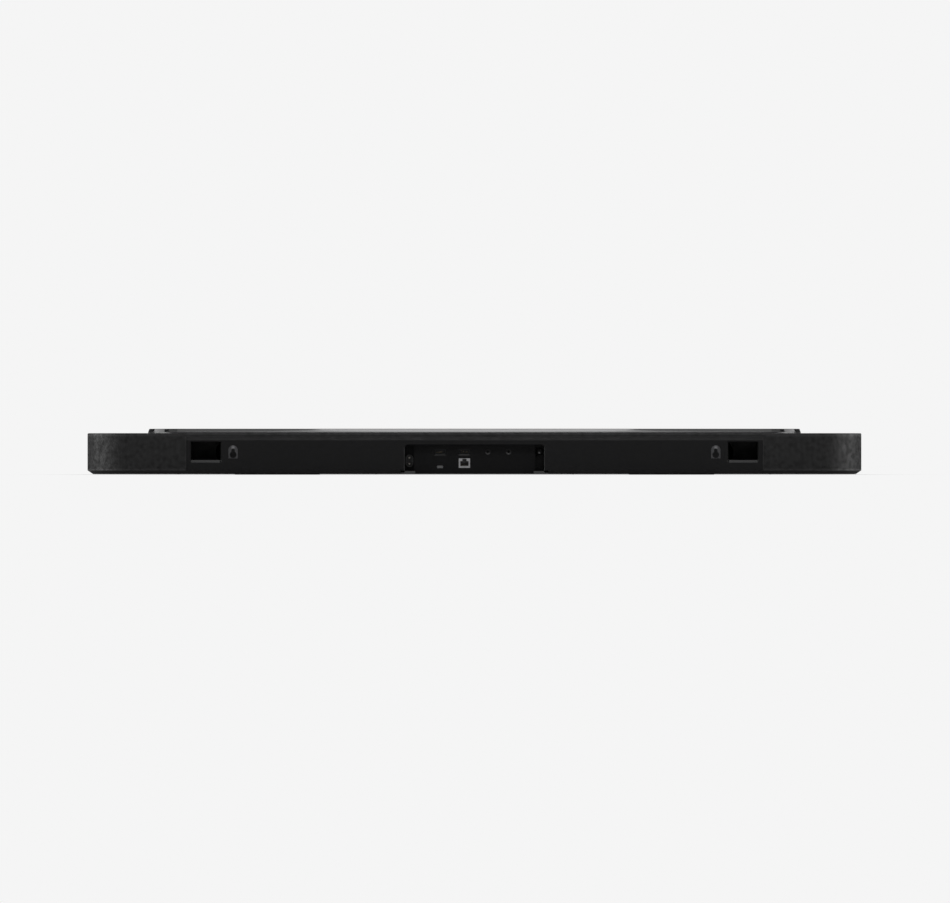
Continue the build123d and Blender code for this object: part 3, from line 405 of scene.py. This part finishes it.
SATIN_WRAP = coated("satin_wrap", (0.006, 0.006, 0.0062), 0.57, drift=0.55, gloss_drift=0.13, mottle=0.0065,
                    depth=0.1, specular=0.3)
HOLE_SHADE = coated("hole_shade", (0.0015, 0.0015, 0.0015), 0.9, specular=0.0, dust=0.0)
GROUND_DEPTH = 1.5 * MM
BLACK_GLASS = polished_glass("black_glass", glass_low.z, glass_high.z - GROUND_DEPTH)
TRAY_GLOSS = coated("tray_gloss", (0.006, 0.006, 0.0065), 0.22, drift=0.1, gloss_drift=0.03, depth=0.03)
REAR_PLASTIC = coated("rear_plastic", (0.0035, 0.0035, 0.0037), 0.42, mottle=0.012, depth=0.25,
                      specular=0.14, lip_rough=0.18)
BAY_PLASTIC = coated("bay_plastic", (0.0026, 0.0026, 0.0028), 0.42, mottle=0.01, depth=0.2,
                     specular=0.11, lip_rough=0.16, lip_slope=0.33)
# The jacks' up-facing lips are painted lighter: a painted highlight.
JACK_PLASTIC = coated("jack_plastic", (0.0022, 0.0022, 0.0023), 0.42, mottle=0.004, depth=0.12,
                      specular=0.16, lip_rough=0.3, lip_slope=0.12, lip_highlight_colour=(0.032, 0.032, 0.033))
# The duct's black plastic, made near-black and barely glossy as painted shade deep in the port.
DUCT_PLASTIC_AND_SHADE = coated("duct_plastic", (0.0008, 0.0008, 0.0008), 0.8, specular=0.03)
BASE_PLASTIC = coated("base_plastic", (0.007, 0.007, 0.0072), 0.5, mottle=0.012, depth=0.25)
CABINET_PLASTIC = coated("cabinet_plastic", (0.012, 0.012, 0.0125), 0.55, mottle=0.015, depth=0.2)
FOOT_RUBBER = coated("foot_rubber", (0.016, 0.016, 0.0165), 0.75, grain=0.0012, depth=0.4, specular=0.3)
ROLL_RUBBER = coated("roll_rubber", (0.012, 0.012, 0.0122), 0.6, depth=0.15, specular=0.4)
SOCKET_PLASTIC = coated("socket_plastic", (0.006, 0.006, 0.0062), 0.4, mottle=0.004, depth=0.12)
INSERT_PLASTIC = coated("insert_plastic", (0.04, 0.04, 0.041), 0.4, mottle=0.004, depth=0.12)
# The optical socket's black plastic, made darker and less glossy as painted shade deep in its well.
WELL_PLASTIC_AND_SHADE = coated("well_plastic_and_shade", (0.0016, 0.0016, 0.0017), 0.55, mottle=0.004, depth=0.12,
                      specular=0.06)
FRAME_PAINT = coated("frame_paint", (0.014, 0.014, 0.0145), 0.45, mottle=0.01, depth=0.2)
LENS_PLASTIC = coated("lens_plastic", (0.62, 0.62, 0.64), 0.3, drift=0.05, mottle=0.003, depth=0.05)
TAPE_YELLOW = coated("tape_yellow", (0.42, 0.33, 0.05), 0.4, mottle=0.006, depth=0.1)
SLEEVE_BLUE = coated("sleeve_blue", (0.02, 0.025, 0.06), 0.35, mottle=0.005, depth=0.05)
MARK_INK = coated("mark_ink", (0.3, 0.3, 0.31), 0.5, mottle=0.002, depth=0.02, dust=0.0)
# The hanger plates carry a painted highlight: a lighter patch this far above their middle.
HANGER_GLINT_RISE = 6.6 * MM
HANGER_GLINT_SPOT = ((plate_low.x + plate_high.x) / 2, 0.0, (plate_low.z + plate_high.z) / 2 + HANGER_GLINT_RISE)
HANGER_STEEL = steel_with_painted_glint("hanger_steel", (0.09, 0.09, 0.093), (0.27, 0.27, 0.28), HANGER_GLINT_SPOT, 2.6 * MM)
# The shutter carries a painted highlight: a pale spot this far above its bottom edge.
SHUTTER_GLINT_RISE = 1.0 * MM
SHUTTER_GLINT_SPOT = (abs(shutter_low.x + shutter_high.x) / 2, 0.0, shutter_low.z + SHUTTER_GLINT_RISE)
SHUTTER_PLASTIC = plastic_with_painted_glint("shutter_plastic", (0.003, 0.003, 0.0032), (0.36, 0.36, 0.36), SHUTTER_GLINT_SPOT,
                                  1.6 * MM)
DARK_SHELL = rolled("dark_shell", (0.03, 0.03, 0.031), 0.35)
USB_SHELL = rolled("usb_shell", (0.3, 0.3, 0.31), 0.35)
TIN_SHIELD = rolled("tin_shield", (0.43, 0.43, 0.44), 0.3)
SCREW_ZINC = rolled("screw_zinc", (0.3, 0.3, 0.32), 0.35, along=ROUND_HEADS)
NICKEL_PIN = rolled("nickel_pin", (0.3, 0.285, 0.26), 0.42)
CONTACT_GOLD = rolled("contact_gold", (0.72, 0.56, 0.3), 0.28)
SINK_METAL = rolled("sink_metal", (0.5, 0.5, 0.52), 0.4)
FERRITE = coated("ferrite", (0.05, 0.05, 0.053), 0.5, mottle=0.004, depth=0.3, metallic=0.3)
BOARD_MASK = solder_mask("board_mask")
CONE_FIBRE = pressed_fibre("cone_fibre")

FINISHES = {
    "rubber_feet": FOOT_RUBBER,
    "base_plate": BASE_PLASTIC,
    "case_screws": SCREW_ZINC,
    "cabinet": CABINET_PLASTIC,
    "top_deck": CABINET_PLASTIC,
    "grille_wrap": SATIN_WRAP,
    "glass_tray": TRAY_GLOSS,
    "touch_board": BOARD_MASK,
    "top_glass": BLACK_GLASS,
    "rear_panel": REAR_PLASTIC,
    "connector_bay": BAY_PLASTIC,
    "port_duct": DUCT_PLASTIC_AND_SHADE,
    "hanger_plate": HANGER_STEEL,
    "io_board": BOARD_MASK,
    "hdmi_socket": DARK_SHELL,
    "usb_socket": USB_SHELL,
    "ethernet_shield": TIN_SHIELD,
    "ethernet_insert": INSERT_PLASTIC,
    "audio_jack": JACK_PLASTIC,
    "power_inlet": SOCKET_PLASTIC,
    "inlet_pins": NICKEL_PIN,
    "optical_socket": WELL_PLASTIC_AND_SHADE,
    "optical_shutter": SHUTTER_PLASTIC,
    "main_board": BOARD_MASK,
    "heat_sink": SINK_METAL,
    "power_board": BOARD_MASK,
    "transformer": TAPE_YELLOW,
    "capacitors": SLEEVE_BLUE,
    "status_light": LENS_PLASTIC,
    "woofer_frame": FRAME_PAINT,
    "woofer_surround": ROLL_RUBBER,
    "woofer_cone": CONE_FIBRE,
    "woofer_magnet": FERRITE,
    "tweeter_frame": FRAME_PAINT,
    "tweeter_dome": CONE_FIBRE,
    "tweeter_magnet": FERRITE,
    "upfire_frame": FRAME_PAINT,
    "upfire_surround": ROLL_RUBBER,
    "upfire_cone": CONE_FIBRE,
    "upfire_magnet": FERRITE,
}
for name, piece in nodes.items():
    material = next(m for start, m in FINISHES.items() if name.startswith(start))
    piece.data.materials.clear()
    piece.data.materials.append(material)


# Geometry trees
HOLE_SIDES = 6
DRIVE_SIDES = 6


def geometry_tree(name, inputs):
    tree = bpy.data.node_groups.new(name, "GeometryNodeTree")
    tree.interface.new_socket("Geometry", in_out="INPUT", socket_type=GEOMETRY)
    for label, kind, value in inputs:
        socket = tree.interface.new_socket(label, in_out="INPUT", socket_type=kind)
        socket.default_value = value
    tree.interface.new_socket("Material", in_out="INPUT", socket_type=MATERIAL)
    tree.interface.new_socket("Geometry", in_out="OUTPUT", socket_type=GEOMETRY)
    start = tree.nodes.new("NodeGroupInput")
    end = tree.nodes.new("NodeGroupOutput")
    return tree, start.outputs, end.inputs["Geometry"]


def stored(tree, geometry, name, kind, value):
    node = add(tree, "GeometryNodeStoreNamedAttribute", {"Name": name}, data_type=kind)
    join(tree, geometry, node.inputs["Geometry"])
    join(tree, value, node.inputs["Value"])
    return node.outputs["Geometry"]


def recalled(tree, name, kind):
    return add(tree, "GeometryNodeInputNamedAttribute", {"Name": name}, data_type=kind).outputs[0]


def moved(tree, geometry, offset):
    node = add(tree, "GeometryNodeSetPosition")
    join(tree, geometry, node.inputs["Geometry"])
    join(tree, offset, node.inputs["Offset"])
    return node.outputs["Geometry"]


def hole_shape(tree, radius):
    hole = add(tree, "GeometryNodeMeshCircle", {"Vertices": HOLE_SIDES}, fill_type="NGON")
    join(tree, radius, hole.inputs["Radius"])
    return hole.outputs["Mesh"]


def odd_ones(tree, number):
    return math(tree, "MODULO", number, 2.0)


def close_tree(tree, points, shape, material, end, rotation=None):
    """A copy of the shape on every point, made real and given its material."""
    copies = add(tree, "GeometryNodeInstanceOnPoints")
    join(tree, points, copies.inputs["Points"])
    join(tree, shape, copies.inputs["Instance"])
    if rotation is not None:
        join(tree, rotation, copies.inputs["Rotation"])
    real = add(tree, "GeometryNodeRealizeInstances")
    covered = add(tree, "GeometryNodeSetMaterial")
    join(tree, copies.outputs["Instances"], real.inputs["Geometry"])
    join(tree, real.outputs["Geometry"], covered.inputs["Geometry"])
    join(tree, material, covered.inputs["Material"])
    join(tree, covered.outputs["Geometry"], end)


def make_hole_rows():
    """Rows of holes that follow a path round the wrap, every second column half a step higher."""
    tree, given, end = geometry_tree(
        "hole_rows",
        [
            ("Column Step", FLOAT, 0.0017),
            ("Row Step", FLOAT, 0.002),
            ("Rows", INTEGER, 20),
            ("Hole Radius", FLOAT, 0.0006),
            ("Lift", FLOAT, 0.00003),
        ],
    )
    path = add(tree, "GeometryNodeMeshToCurve")
    join(tree, given["Geometry"], path.inputs["Mesh"])
    columns = add(tree, "GeometryNodeCurveToPoints", mode="LENGTH")
    join(tree, path.outputs["Curve"], columns.inputs["Curve"])
    join(tree, given["Column Step"], columns.inputs["Length"])
    outward = vector_math(tree, "CROSS_PRODUCT", columns.outputs["Tangent"], (0.0, 0.0, 1.0))
    points = stored(tree, columns.outputs["Points"], "outward", "FLOAT_VECTOR", outward)
    odd = odd_ones(tree, add(tree, "GeometryNodeInputIndex").outputs["Index"])
    points = stored(tree, points, "stagger", "FLOAT", odd)
    rows = add(tree, "GeometryNodeDuplicateElements", domain="POINT")
    join(tree, points, rows.inputs["Geometry"])
    join(tree, given["Rows"], rows.inputs["Amount"])
    out = recalled(tree, "outward", "FLOAT_VECTOR")
    half = recalled(tree, "stagger", "FLOAT")
    level = math(tree, "MULTIPLY_ADD", half, 0.5, rows.outputs["Duplicate Index"])
    climb = together(tree, Z=math(tree, "MULTIPLY", level, given["Row Step"]))
    offset = vector_math(tree, "ADD", climb, scaled(tree, out, given["Lift"]))
    points = moved(tree, rows.outputs["Geometry"], offset)
    hole = hole_shape(tree, given["Hole Radius"])
    turn = add(tree, "FunctionNodeAlignRotationToVector", axis="Z")
    join(tree, out, turn.inputs["Vector"])
    close_tree(tree, points, hole, given["Material"], end, turn.outputs["Rotation"])
    return tree


def make_hole_field():
    """Holes over the flat top of the wrap, between its edge and the slab."""
    tree, given, end = geometry_tree(
        "hole_field",
        [
            ("Length", FLOAT, 1.1),
            ("Depth", FLOAT, 0.12),
            ("Slab Length", FLOAT, 0.928),
            ("Slab Depth", FLOAT, 0.108),
            ("Edge", FLOAT, 0.003),
            ("Slab Edge", FLOAT, 0.0012),
            ("Column Step", FLOAT, 0.0017),
            ("Row Step", FLOAT, 0.002),
            ("Columns", INTEGER, 640),
            ("Rows", INTEGER, 60),
            ("Hole Radius", FLOAT, 0.0006),
            ("Height", FLOAT, 0.058),
        ],
    )
    sheet = add(tree, "GeometryNodeMeshGrid")
    for label, count, step in (("X", "Columns", "Column Step"), ("Y", "Rows", "Row Step")):
        gaps = math(tree, "SUBTRACT", given[count], 1.0)
        join(tree, math(tree, "MULTIPLY", gaps, given[step]), sheet.inputs[f"Size {label}"])
        join(tree, given[count], sheet.inputs[f"Vertices {label}"])
    index = add(tree, "GeometryNodeInputIndex").outputs["Index"]
    odd = odd_ones(tree, math(tree, "FLOOR", math(tree, "DIVIDE", index, given["Rows"])))
    half_step = math(tree, "MULTIPLY", math(tree, "MULTIPLY", odd, 0.5), given["Row Step"])
    points = moved(tree, sheet.outputs["Mesh"], together(tree, Y=half_step, Z=given["Height"]))
    where = apart(tree, add(tree, "GeometryNodeInputPosition").outputs["Position"])

    def beyond(length, depth):
        """How far a point lies outside a level outline with half-round ends."""
        straight = math(tree, "MULTIPLY", math(tree, "SUBTRACT", length, depth), 0.5)
        past = math(tree, "SUBTRACT", math(tree, "ABSOLUTE", where["X"]), straight)
        flat = together(tree, X=math(tree, "MAXIMUM", past, 0.0), Y=where["Y"])
        radius = math(tree, "MULTIPLY", depth, 0.5)
        return math(tree, "SUBTRACT", vector_math(tree, "LENGTH", flat), radius)

    outer = math(tree, "ADD", beyond(given["Length"], given["Depth"]), given["Edge"])
    inner = math(tree, "SUBTRACT", beyond(given["Slab Length"], given["Slab Depth"]), given["Slab Edge"])
    outside = math(tree, "GREATER_THAN", outer, 0.0)
    under_slab = math(tree, "LESS_THAN", inner, 0.0)
    kept = add(tree, "GeometryNodeDeleteGeometry", domain="POINT")
    join(tree, points, kept.inputs["Geometry"])
    join(tree, math(tree, "MAXIMUM", outside, under_slab), kept.inputs["Selection"])
    hole = hole_shape(tree, given["Hole Radius"])
    close_tree(tree, kept.outputs["Geometry"], hole, given["Material"], end)
    return tree


def make_contact_row():
    """Bars side by side, for the contacts of a socket."""
    tree, given, end = geometry_tree(
        "contact_row",
        [
            ("Count", INTEGER, 8),
            ("Step", FLOAT, 0.001),
            ("Bar", VECTOR, (0.0004, 0.006, 0.0002)),
            ("Middle", VECTOR, (0.0, 0.0, 0.0)),
            ("Tilt", FLOAT, 0.0),
        ],
    )
    bar = add(tree, "GeometryNodeMeshCube")
    join(tree, given["Bar"], bar.inputs["Size"])
    line = add(tree, "GeometryNodeMeshLine")
    join(tree, given["Count"], line.inputs["Count"])
    pitch = together(tree, X=given["Step"])
    join(tree, pitch, line.inputs["Offset"])
    back = math(tree, "MULTIPLY", math(tree, "SUBTRACT", given["Count"], 1.0), -0.5)
    first = vector_math(tree, "ADD", given["Middle"], scaled(tree, pitch, back))
    join(tree, first, line.inputs["Start Location"])
    lean = together(tree, X=given["Tilt"])
    close_tree(tree, line.outputs["Mesh"], bar.outputs["Mesh"], given["Material"], end, lean)
    return tree


def make_screw_drives():
    """A six-sided drive in every screw head, looking down."""
    tree, given, end = geometry_tree(
        "screw_drives",
        [("Drive Radius", FLOAT, 0.0014), ("Depth", FLOAT, 0.0002)],
    )
    drive = add(tree, "GeometryNodeMeshCylinder", {"Vertices": DRIVE_SIDES})
    join(tree, given["Drive Radius"], drive.inputs["Radius"])
    join(tree, given["Depth"], drive.inputs["Depth"])
    close_tree(tree, given["Geometry"], drive.outputs["Mesh"], given["Material"], end)
    return tree


# Mesh helpers
def put(name, mesh):
    piece = bpy.data.objects.new(name, mesh)
    scene.collection.objects.link(piece)
    return piece


def seed_mesh(name, points, edges=(), faces=()):
    mesh = bpy.data.meshes.new(name)
    mesh.from_pydata(points, edges, faces)
    return mesh


def grown(name, tree, seed, values):
    """A plain mesh object grown by a geometry tree from a seed mesh."""
    piece = put(name, seed)
    modifier = piece.modifiers.new(name, "NODES")
    modifier.node_group = tree
    for item in tree.interface.items_tree:
        if item.in_out == "INPUT" and item.name in values:
            modifier[item.identifier] = values[item.name]
    graph = bpy.context.evaluated_depsgraph_get()
    mesh = bpy.data.meshes.new_from_object(piece.evaluated_get(graph))
    piece.modifiers.clear()
    piece.data = mesh
    mesh.name = name
    return piece


def joined(name, pieces):
    """Several plain meshes as one piece."""
    for piece in bpy.context.selected_objects:
        piece.select_set(False)
    for piece in pieces:
        piece.select_set(True)
    bpy.context.view_layer.objects.active = pieces[0]
    bpy.ops.object.join()
    pieces[0].name = name
    pieces[0].data.name = name
    return pieces[0]


# Perforations
PITCH = 2.0 * MM
COLUMN_STEP = PITCH * cos(radians(30))
HOLE_RADIUS = 0.6 * MM
HOLE_LIFT = 0.03 * MM
EDGE_BAND = 3.0 * MM
TOP_BAND = EDGE_BAND * 0.8
SLAB_BAND = PITCH * 0.6
ARC_STEPS = 48


def arc(middle_x, start, height):
    """Half a turn round one end of the wrap, counterclockwise from above."""
    turns = [start + pi * i / ARC_STEPS for i in range(ARC_STEPS + 1)]
    return [(middle_x + half_depth * cos(a), half_depth * sin(a), height) for a in turns]


def wrap_path(start_x, height):
    """The wrap's outline, counterclockwise from the rear at -start_x round the front to start_x."""
    middle = half_length - half_depth
    points = [(-start_x, half_depth, height)]
    points += arc(-middle, radians(90), height)
    points += arc(middle, radians(-90), height)
    points.append((start_x, half_depth, height))
    return seed_mesh("wrap_path", points, [(i, i + 1) for i in range(len(points) - 1)])


def strip_path(end_x, height):
    """A straight line across the wrap over the rear panel."""
    return seed_mesh("strip_path", [(end_x, half_depth, height), (-end_x, half_depth, height)], [(0, 1)])


hole_rows = make_hole_rows()
hole_field = make_hole_field()
wall_low = wrap_low.z + EDGE_BAND
wall_rows = int((wrap_high.z - EDGE_BAND - wall_low) / PITCH)
strip_low = panel_high.z + EDGE_BAND / 2
strip_rows = max(int((wrap_high.z - TOP_BAND - strip_low) / PITCH), 1)
window_edge = panel_high.x + EDGE_BAND
hole_values = {
    "Column Step": COLUMN_STEP,
    "Row Step": PITCH,
    "Hole Radius": HOLE_RADIUS,
    "Material": HOLE_SHADE,
}
row_values = {**hole_values, "Lift": HOLE_LIFT}
field_values = {
    **hole_values,
    "Length": 2 * half_length,
    "Depth": 2 * half_depth,
    "Slab Length": glass_high.x - glass_low.x,
    "Slab Depth": glass_high.y - glass_low.y,
    "Edge": TOP_BAND,
    "Slab Edge": SLAB_BAND,
    "Columns": int(2 * half_length / COLUMN_STEP),
    "Rows": int(2 * half_depth / PITCH) + 1,
    "Height": wrap_high.z + HOLE_LIFT,
}
wall_path = wrap_path(window_edge, wall_low)
wall_holes = grown("wrap_holes_wall", hole_rows, wall_path, {**row_values, "Rows": wall_rows})
rear_path = strip_path(window_edge, strip_low)
strip_holes = grown("wrap_holes_strip", hole_rows, rear_path, {**row_values, "Rows": strip_rows})
top_holes = grown("wrap_holes_top", hole_field, seed_mesh("top_seed", []), field_values)
for piece in (wall_holes, strip_holes, top_holes):
    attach(piece, "housing")


# Contacts in the sockets: bars by width, length and height, set back from the socket's face
VIDEO_BAR = (0.45 * MM, 4.6 * MM, 0.12 * MM)
VIDEO_COUNT = 10
VIDEO_STEP = 0.95 * MM
VIDEO_SETBACK = 6.6 * MM
VIDEO_RISE = 0.62 * MM
OVAL_BAR = (0.26 * MM, 4.0 * MM, 0.08 * MM)
OVAL_COUNT = 12
OVAL_STEP = 0.5 * MM
OVAL_SETBACK = 3.9 * MM
OVAL_RISE = 0.36 * MM
NETWORK_BAR = (0.38 * MM, 7.7 * MM, 0.3 * MM)
NETWORK_COUNT = 8
NETWORK_STEP = 1.02 * MM
NETWORK_SETBACK = 5.0 * MM
NETWORK_FLOOR = 2.0 * MM
NETWORK_RISE = 2.1 * MM
NETWORK_TILT = atan2(-3.4, 7.0)
contact_row = make_contact_row()


def contacts(name, count, step, bar, middle, tilt=0.0):
    return grown(
        name,
        contact_row,
        seed_mesh(name, []),
        {"Count": count, "Step": step, "Bar": bar, "Middle": middle, "Tilt": tilt, "Material": CONTACT_GOLD},
    )


def both_sides(name, socket, count, step, bar, setback, rise):
    """A row under and a row over the tongue of a socket."""
    low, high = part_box(socket)
    pair = []
    for side in (-1, 1):
        middle = ((low.x + high.x) / 2, high.y - setback, (low.z + high.z) / 2 + side * rise)
        pair.append(contacts(f"{name}_{side}", count, step, bar, middle))
    return pair


rows = []
for number in (1, 2):
    rows += both_sides(f"video_contacts_{number}", f"hdmi_socket_{number}", VIDEO_COUNT, VIDEO_STEP,
                       VIDEO_BAR, VIDEO_SETBACK, VIDEO_RISE)
rows += both_sides("oval_contacts", "usb_socket", OVAL_COUNT, OVAL_STEP, OVAL_BAR, OVAL_SETBACK, OVAL_RISE)
low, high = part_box("ethernet_insert")
middle = ((low.x + high.x) / 2, high.y - NETWORK_SETBACK, low.z + NETWORK_FLOOR + NETWORK_RISE)
rows.append(contacts("network_contacts", NETWORK_COUNT, NETWORK_STEP, NETWORK_BAR, middle, NETWORK_TILT))
socket_contacts = joined("socket_contacts", rows)
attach(socket_contacts, "housing")


# Screw drives under the base
HEAD_RADIUS = 3.2 * MM
INNER_SCREW_X = 140.0 * MM
DRIVE_LIFT = 0.05 * MM
screw_low, screw_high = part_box("case_screws")
outer_screw_x = screw_high.x - HEAD_RADIUS
screw_y = screw_high.y - HEAD_RADIUS
spots = [
    (end * x, side * screw_y, screw_low.z - DRIVE_LIFT)
    for x in (INNER_SCREW_X, outer_screw_x)
    for end in (-1, 1)
    for side in (-1, 1)
]
drives = grown(
    "screw_drives",
    make_screw_drives(),
    seed_mesh("screw_spots", spots),
    {"Drive Radius": 1.5 * MM, "Depth": 0.2 * MM, "Material": HOLE_SHADE},
)
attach(drives, "housing")


# Touch marks on the glass: minus, ring, plus
MARK_FROM_FRONT = 30.0 * MM
MARK_SPACING = 36.0 * MM
MARK_REACH = 3.2 * MM
MARK_HALF_WIDTH = 0.35 * MM
RING_INNER = 2.5 * MM
RING_STEPS = 40
MARK_LIFT = 0.02 * MM


def flat_ring(points, middle):
    x, y = middle
    start = len(points)
    for i in range(RING_STEPS):
        a = 2 * pi * i / RING_STEPS
        points.append((x + MARK_REACH * cos(a), y + MARK_REACH * sin(a)))
        points.append((x + RING_INNER * cos(a), y + RING_INNER * sin(a)))
    corners = [(start + 2 * i, start + 2 * ((i + 1) % RING_STEPS)) for i in range(RING_STEPS)]
    return [(here, there, there + 1, here + 1) for here, there in corners]


def flat_bars(points, middle, cross):
    x, y = middle
    start = len(points)
    reach = MARK_REACH
    half = MARK_HALF_WIDTH
    outline = [(-reach, -half), (reach, -half)]
    if cross:
        outline = [(-reach, -half), (-half, -half), (-half, -reach)]
        outline += [(half, -reach), (half, -half), (reach, -half)]
    outline += [(-a, -b) for a, b in outline]
    points.extend((x + a, y + b) for a, b in outline)
    return [tuple(range(start, start + len(outline)))]


flat = []
mark_y = glass_low.y + MARK_FROM_FRONT
faces = flat_bars(flat, (-MARK_SPACING, mark_y), False)
faces += flat_ring(flat, (0.0, mark_y))
faces += flat_bars(flat, (MARK_SPACING, mark_y), True)
mark_mesh = seed_mesh("touch_marks", [(x, y, glass_high.z + MARK_LIFT) for x, y in flat], [], faces)
mark_mesh.materials.append(MARK_INK)
touch_marks = put("touch_marks", mark_mesh)
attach(touch_marks, "housing")


# Floor and surround: pale to the eye, with the bar's own soft shade where it stands
PALE = 0.913
DEEPEST_SHADE = PALE * 0.1
SHADE_REACH = 0.15
FLOOR_REACH = 60.0
FLOOR_LEVEL = -0.1 * MM
ROOM_LIGHT = 0.2
ROOM_MIRRORED = 0.06


def seen_rays(tree):
    """The rays that look glossily, and those that see things as they are."""
    rays = add(tree, "ShaderNodeLightPath").outputs
    return rays["Is Glossy Ray"], math(tree, "MAXIMUM", rays["Is Camera Ray"], rays["Is Transmission Ray"])


def make_floor():
    signs = ((-1, -1), (1, -1), (1, 1), (-1, 1))
    corners = [(x * FLOOR_REACH, y * FLOOR_REACH, FLOOR_LEVEL) for x, y in signs]
    mesh = seed_mesh("studio_floor", corners, [], [(0, 1, 2, 3)])
    floor = put("studio_floor", mesh)
    material = bpy.data.materials.new("pale_floor")
    material.use_nodes = True
    tree = material.node_tree
    tree.nodes.clear()
    shade = add(tree, "ShaderNodeAmbientOcclusion", {"Distance": SHADE_REACH}, samples=8)
    limits = {"From Min": 0.45, "From Max": 0.97, "To Min": DEEPEST_SHADE, "To Max": PALE}
    glow = add(tree, "ShaderNodeEmission")
    join(tree, remap(tree, shade.outputs["AO"], limits), glow.inputs["Strength"])
    card = add(tree, "ShaderNodeBsdfDiffuse", {"Color": (0.55, 0.55, 0.55, 1.0)})
    glossy, plain = seen_rays(tree)
    mix = add(tree, "ShaderNodeMixShader")
    join(tree, math(tree, "MAXIMUM", plain, glossy), mix.inputs[0])
    join(tree, card.outputs[0], mix.inputs[1])
    join(tree, glow.outputs[0], mix.inputs[2])
    out = add(tree, "ShaderNodeOutputMaterial")
    join(tree, mix.outputs[0], out.inputs["Surface"])
    mesh.materials.append(material)


def make_surround():
    world = bpy.data.worlds.new("studio")
    scene.world = world
    world.use_nodes = True
    tree = world.node_tree
    tree.nodes.clear()
    glossy, plain = seen_rays(tree)
    way = apart(tree, add(tree, "ShaderNodeTexCoord").outputs["Generated"])

    def towards(direction, start, full):
        return remap(tree, direction, {"From Min": start, "From Max": full}, interpolation_type="SMOOTHSTEP")

    behind = towards(way["Y"], -0.965, -0.999)
    band = math(tree, "MULTIPLY", towards(way["Z"], 0.15, 0.4), towards(way["Z"], 0.85, 0.6))
    narrow = towards(math(tree, "ABSOLUTE", way["X"]), 0.5, 0.2)
    patch = math(tree, "MULTIPLY", band, narrow)
    above = math(tree, "MULTIPLY", patch, towards(way["Y"], 0.0, -0.4))
    backdrop = math(tree, "MULTIPLY", glossy, math(tree, "MAXIMUM", behind, above))
    shown = math(tree, "MAXIMUM", plain, backdrop)
    room = spread(tree, glossy, ROOM_LIGHT, ROOM_MIRRORED)
    sky = add(tree, "ShaderNodeBackground", {"Color": (1.0, 1.0, 1.0, 1.0)})
    join(tree, blend_values(tree, shown, room, PALE), sky.inputs["Strength"])
    out = add(tree, "ShaderNodeOutputWorld")
    join(tree, sky.outputs[0], out.inputs["Surface"])


def softbox(name, place, aim, size, power, mirrored=True):
    lamp = bpy.data.lights.new(name, "AREA")
    lamp.shape = "RECTANGLE"
    lamp.size, lamp.size_y = size
    lamp.energy = power
    box = bpy.data.objects.new(name, lamp)
    box.location = place
    box.rotation_euler = (Vector(aim) - Vector(place)).to_track_quat("-Z", "Y").to_euler()
    box.visible_camera = False
    box.visible_glossy = mirrored
    scene.collection.objects.link(box)


# Low boxes only show in the upright wrap, high ones also in the slab's leaning edge
AIM_HEIGHT = 0.03
SIDE_AIM = 0.5
CORNER_AIM = 0.45
centre = (0.0, 0.0, AIM_HEIGHT)
make_floor()
make_surround()
for side in (-1, 1):
    end = (side * SIDE_AIM, 0.0, AIM_HEIGHT)
    softbox(f"side_box_{side}", (side * 2.18, -0.26, 1.28), end, (1.6, 1.1), 19.0)
    softbox(f"side_low_box_{side}", (side * 2.18, 0.17, 0.36), end, (1.6, 0.7), 22.0)
softbox("rear_strip", (0.0, 1.78, 1.78), centre, (3.0, 1.1), 17.0)
softbox("front_strip", (0.0, -1.78, 1.78), centre, (3.0, 1.1), 8.0)
softbox("high_strip", (0.0, 0.95, 2.3), centre, (1.2, 0.7), 9.6)
softbox("slab_box", (0.0, 1.9, 1.5), centre, (0.5, 0.35), 3.9)
for side in (-1, 1):
    corner = (side * CORNER_AIM, 0.0, AIM_HEIGHT)
    softbox(f"corner_box_{side}", (side * 1.85, 1.4, 1.45), corner, (1.0, 1.0), 2.8)
    softbox(f"corner_low_box_{side}", (side * 2.1, 0.95, 0.41), corner, (1.0, 0.8), 8.0)
softbox("rear_fill", (0.0, 4.0, 2.0), centre, (3.0, 3.0), 40.0, mirrored=False)
softbox("front_fill", (0.0, -4.0, 2.0), centre, (3.0, 3.0), 40.0, mirrored=False)


# Camera: level, far behind the bar, with a long lens
DISTANCE = 20.0
FRAME_WIDTH = 1350.5 * MM
CAMERA_X = -0.8 * MM
CAMERA_HEIGHT = 32.7 * MM
camera_data = bpy.data.cameras.new("rear_camera")
camera = put("rear_camera", camera_data)
camera_data.sensor_width = 36.0
camera_data.lens = camera_data.sensor_width * DISTANCE / FRAME_WIDTH
camera_data.clip_end = 200.0
camera.location = (CAMERA_X, DISTANCE, CAMERA_HEIGHT)
camera.rotation_euler = (radians(90), 0.0, radians(180))
scene.camera = camera
scene.view_settings.view_transform = "Standard"
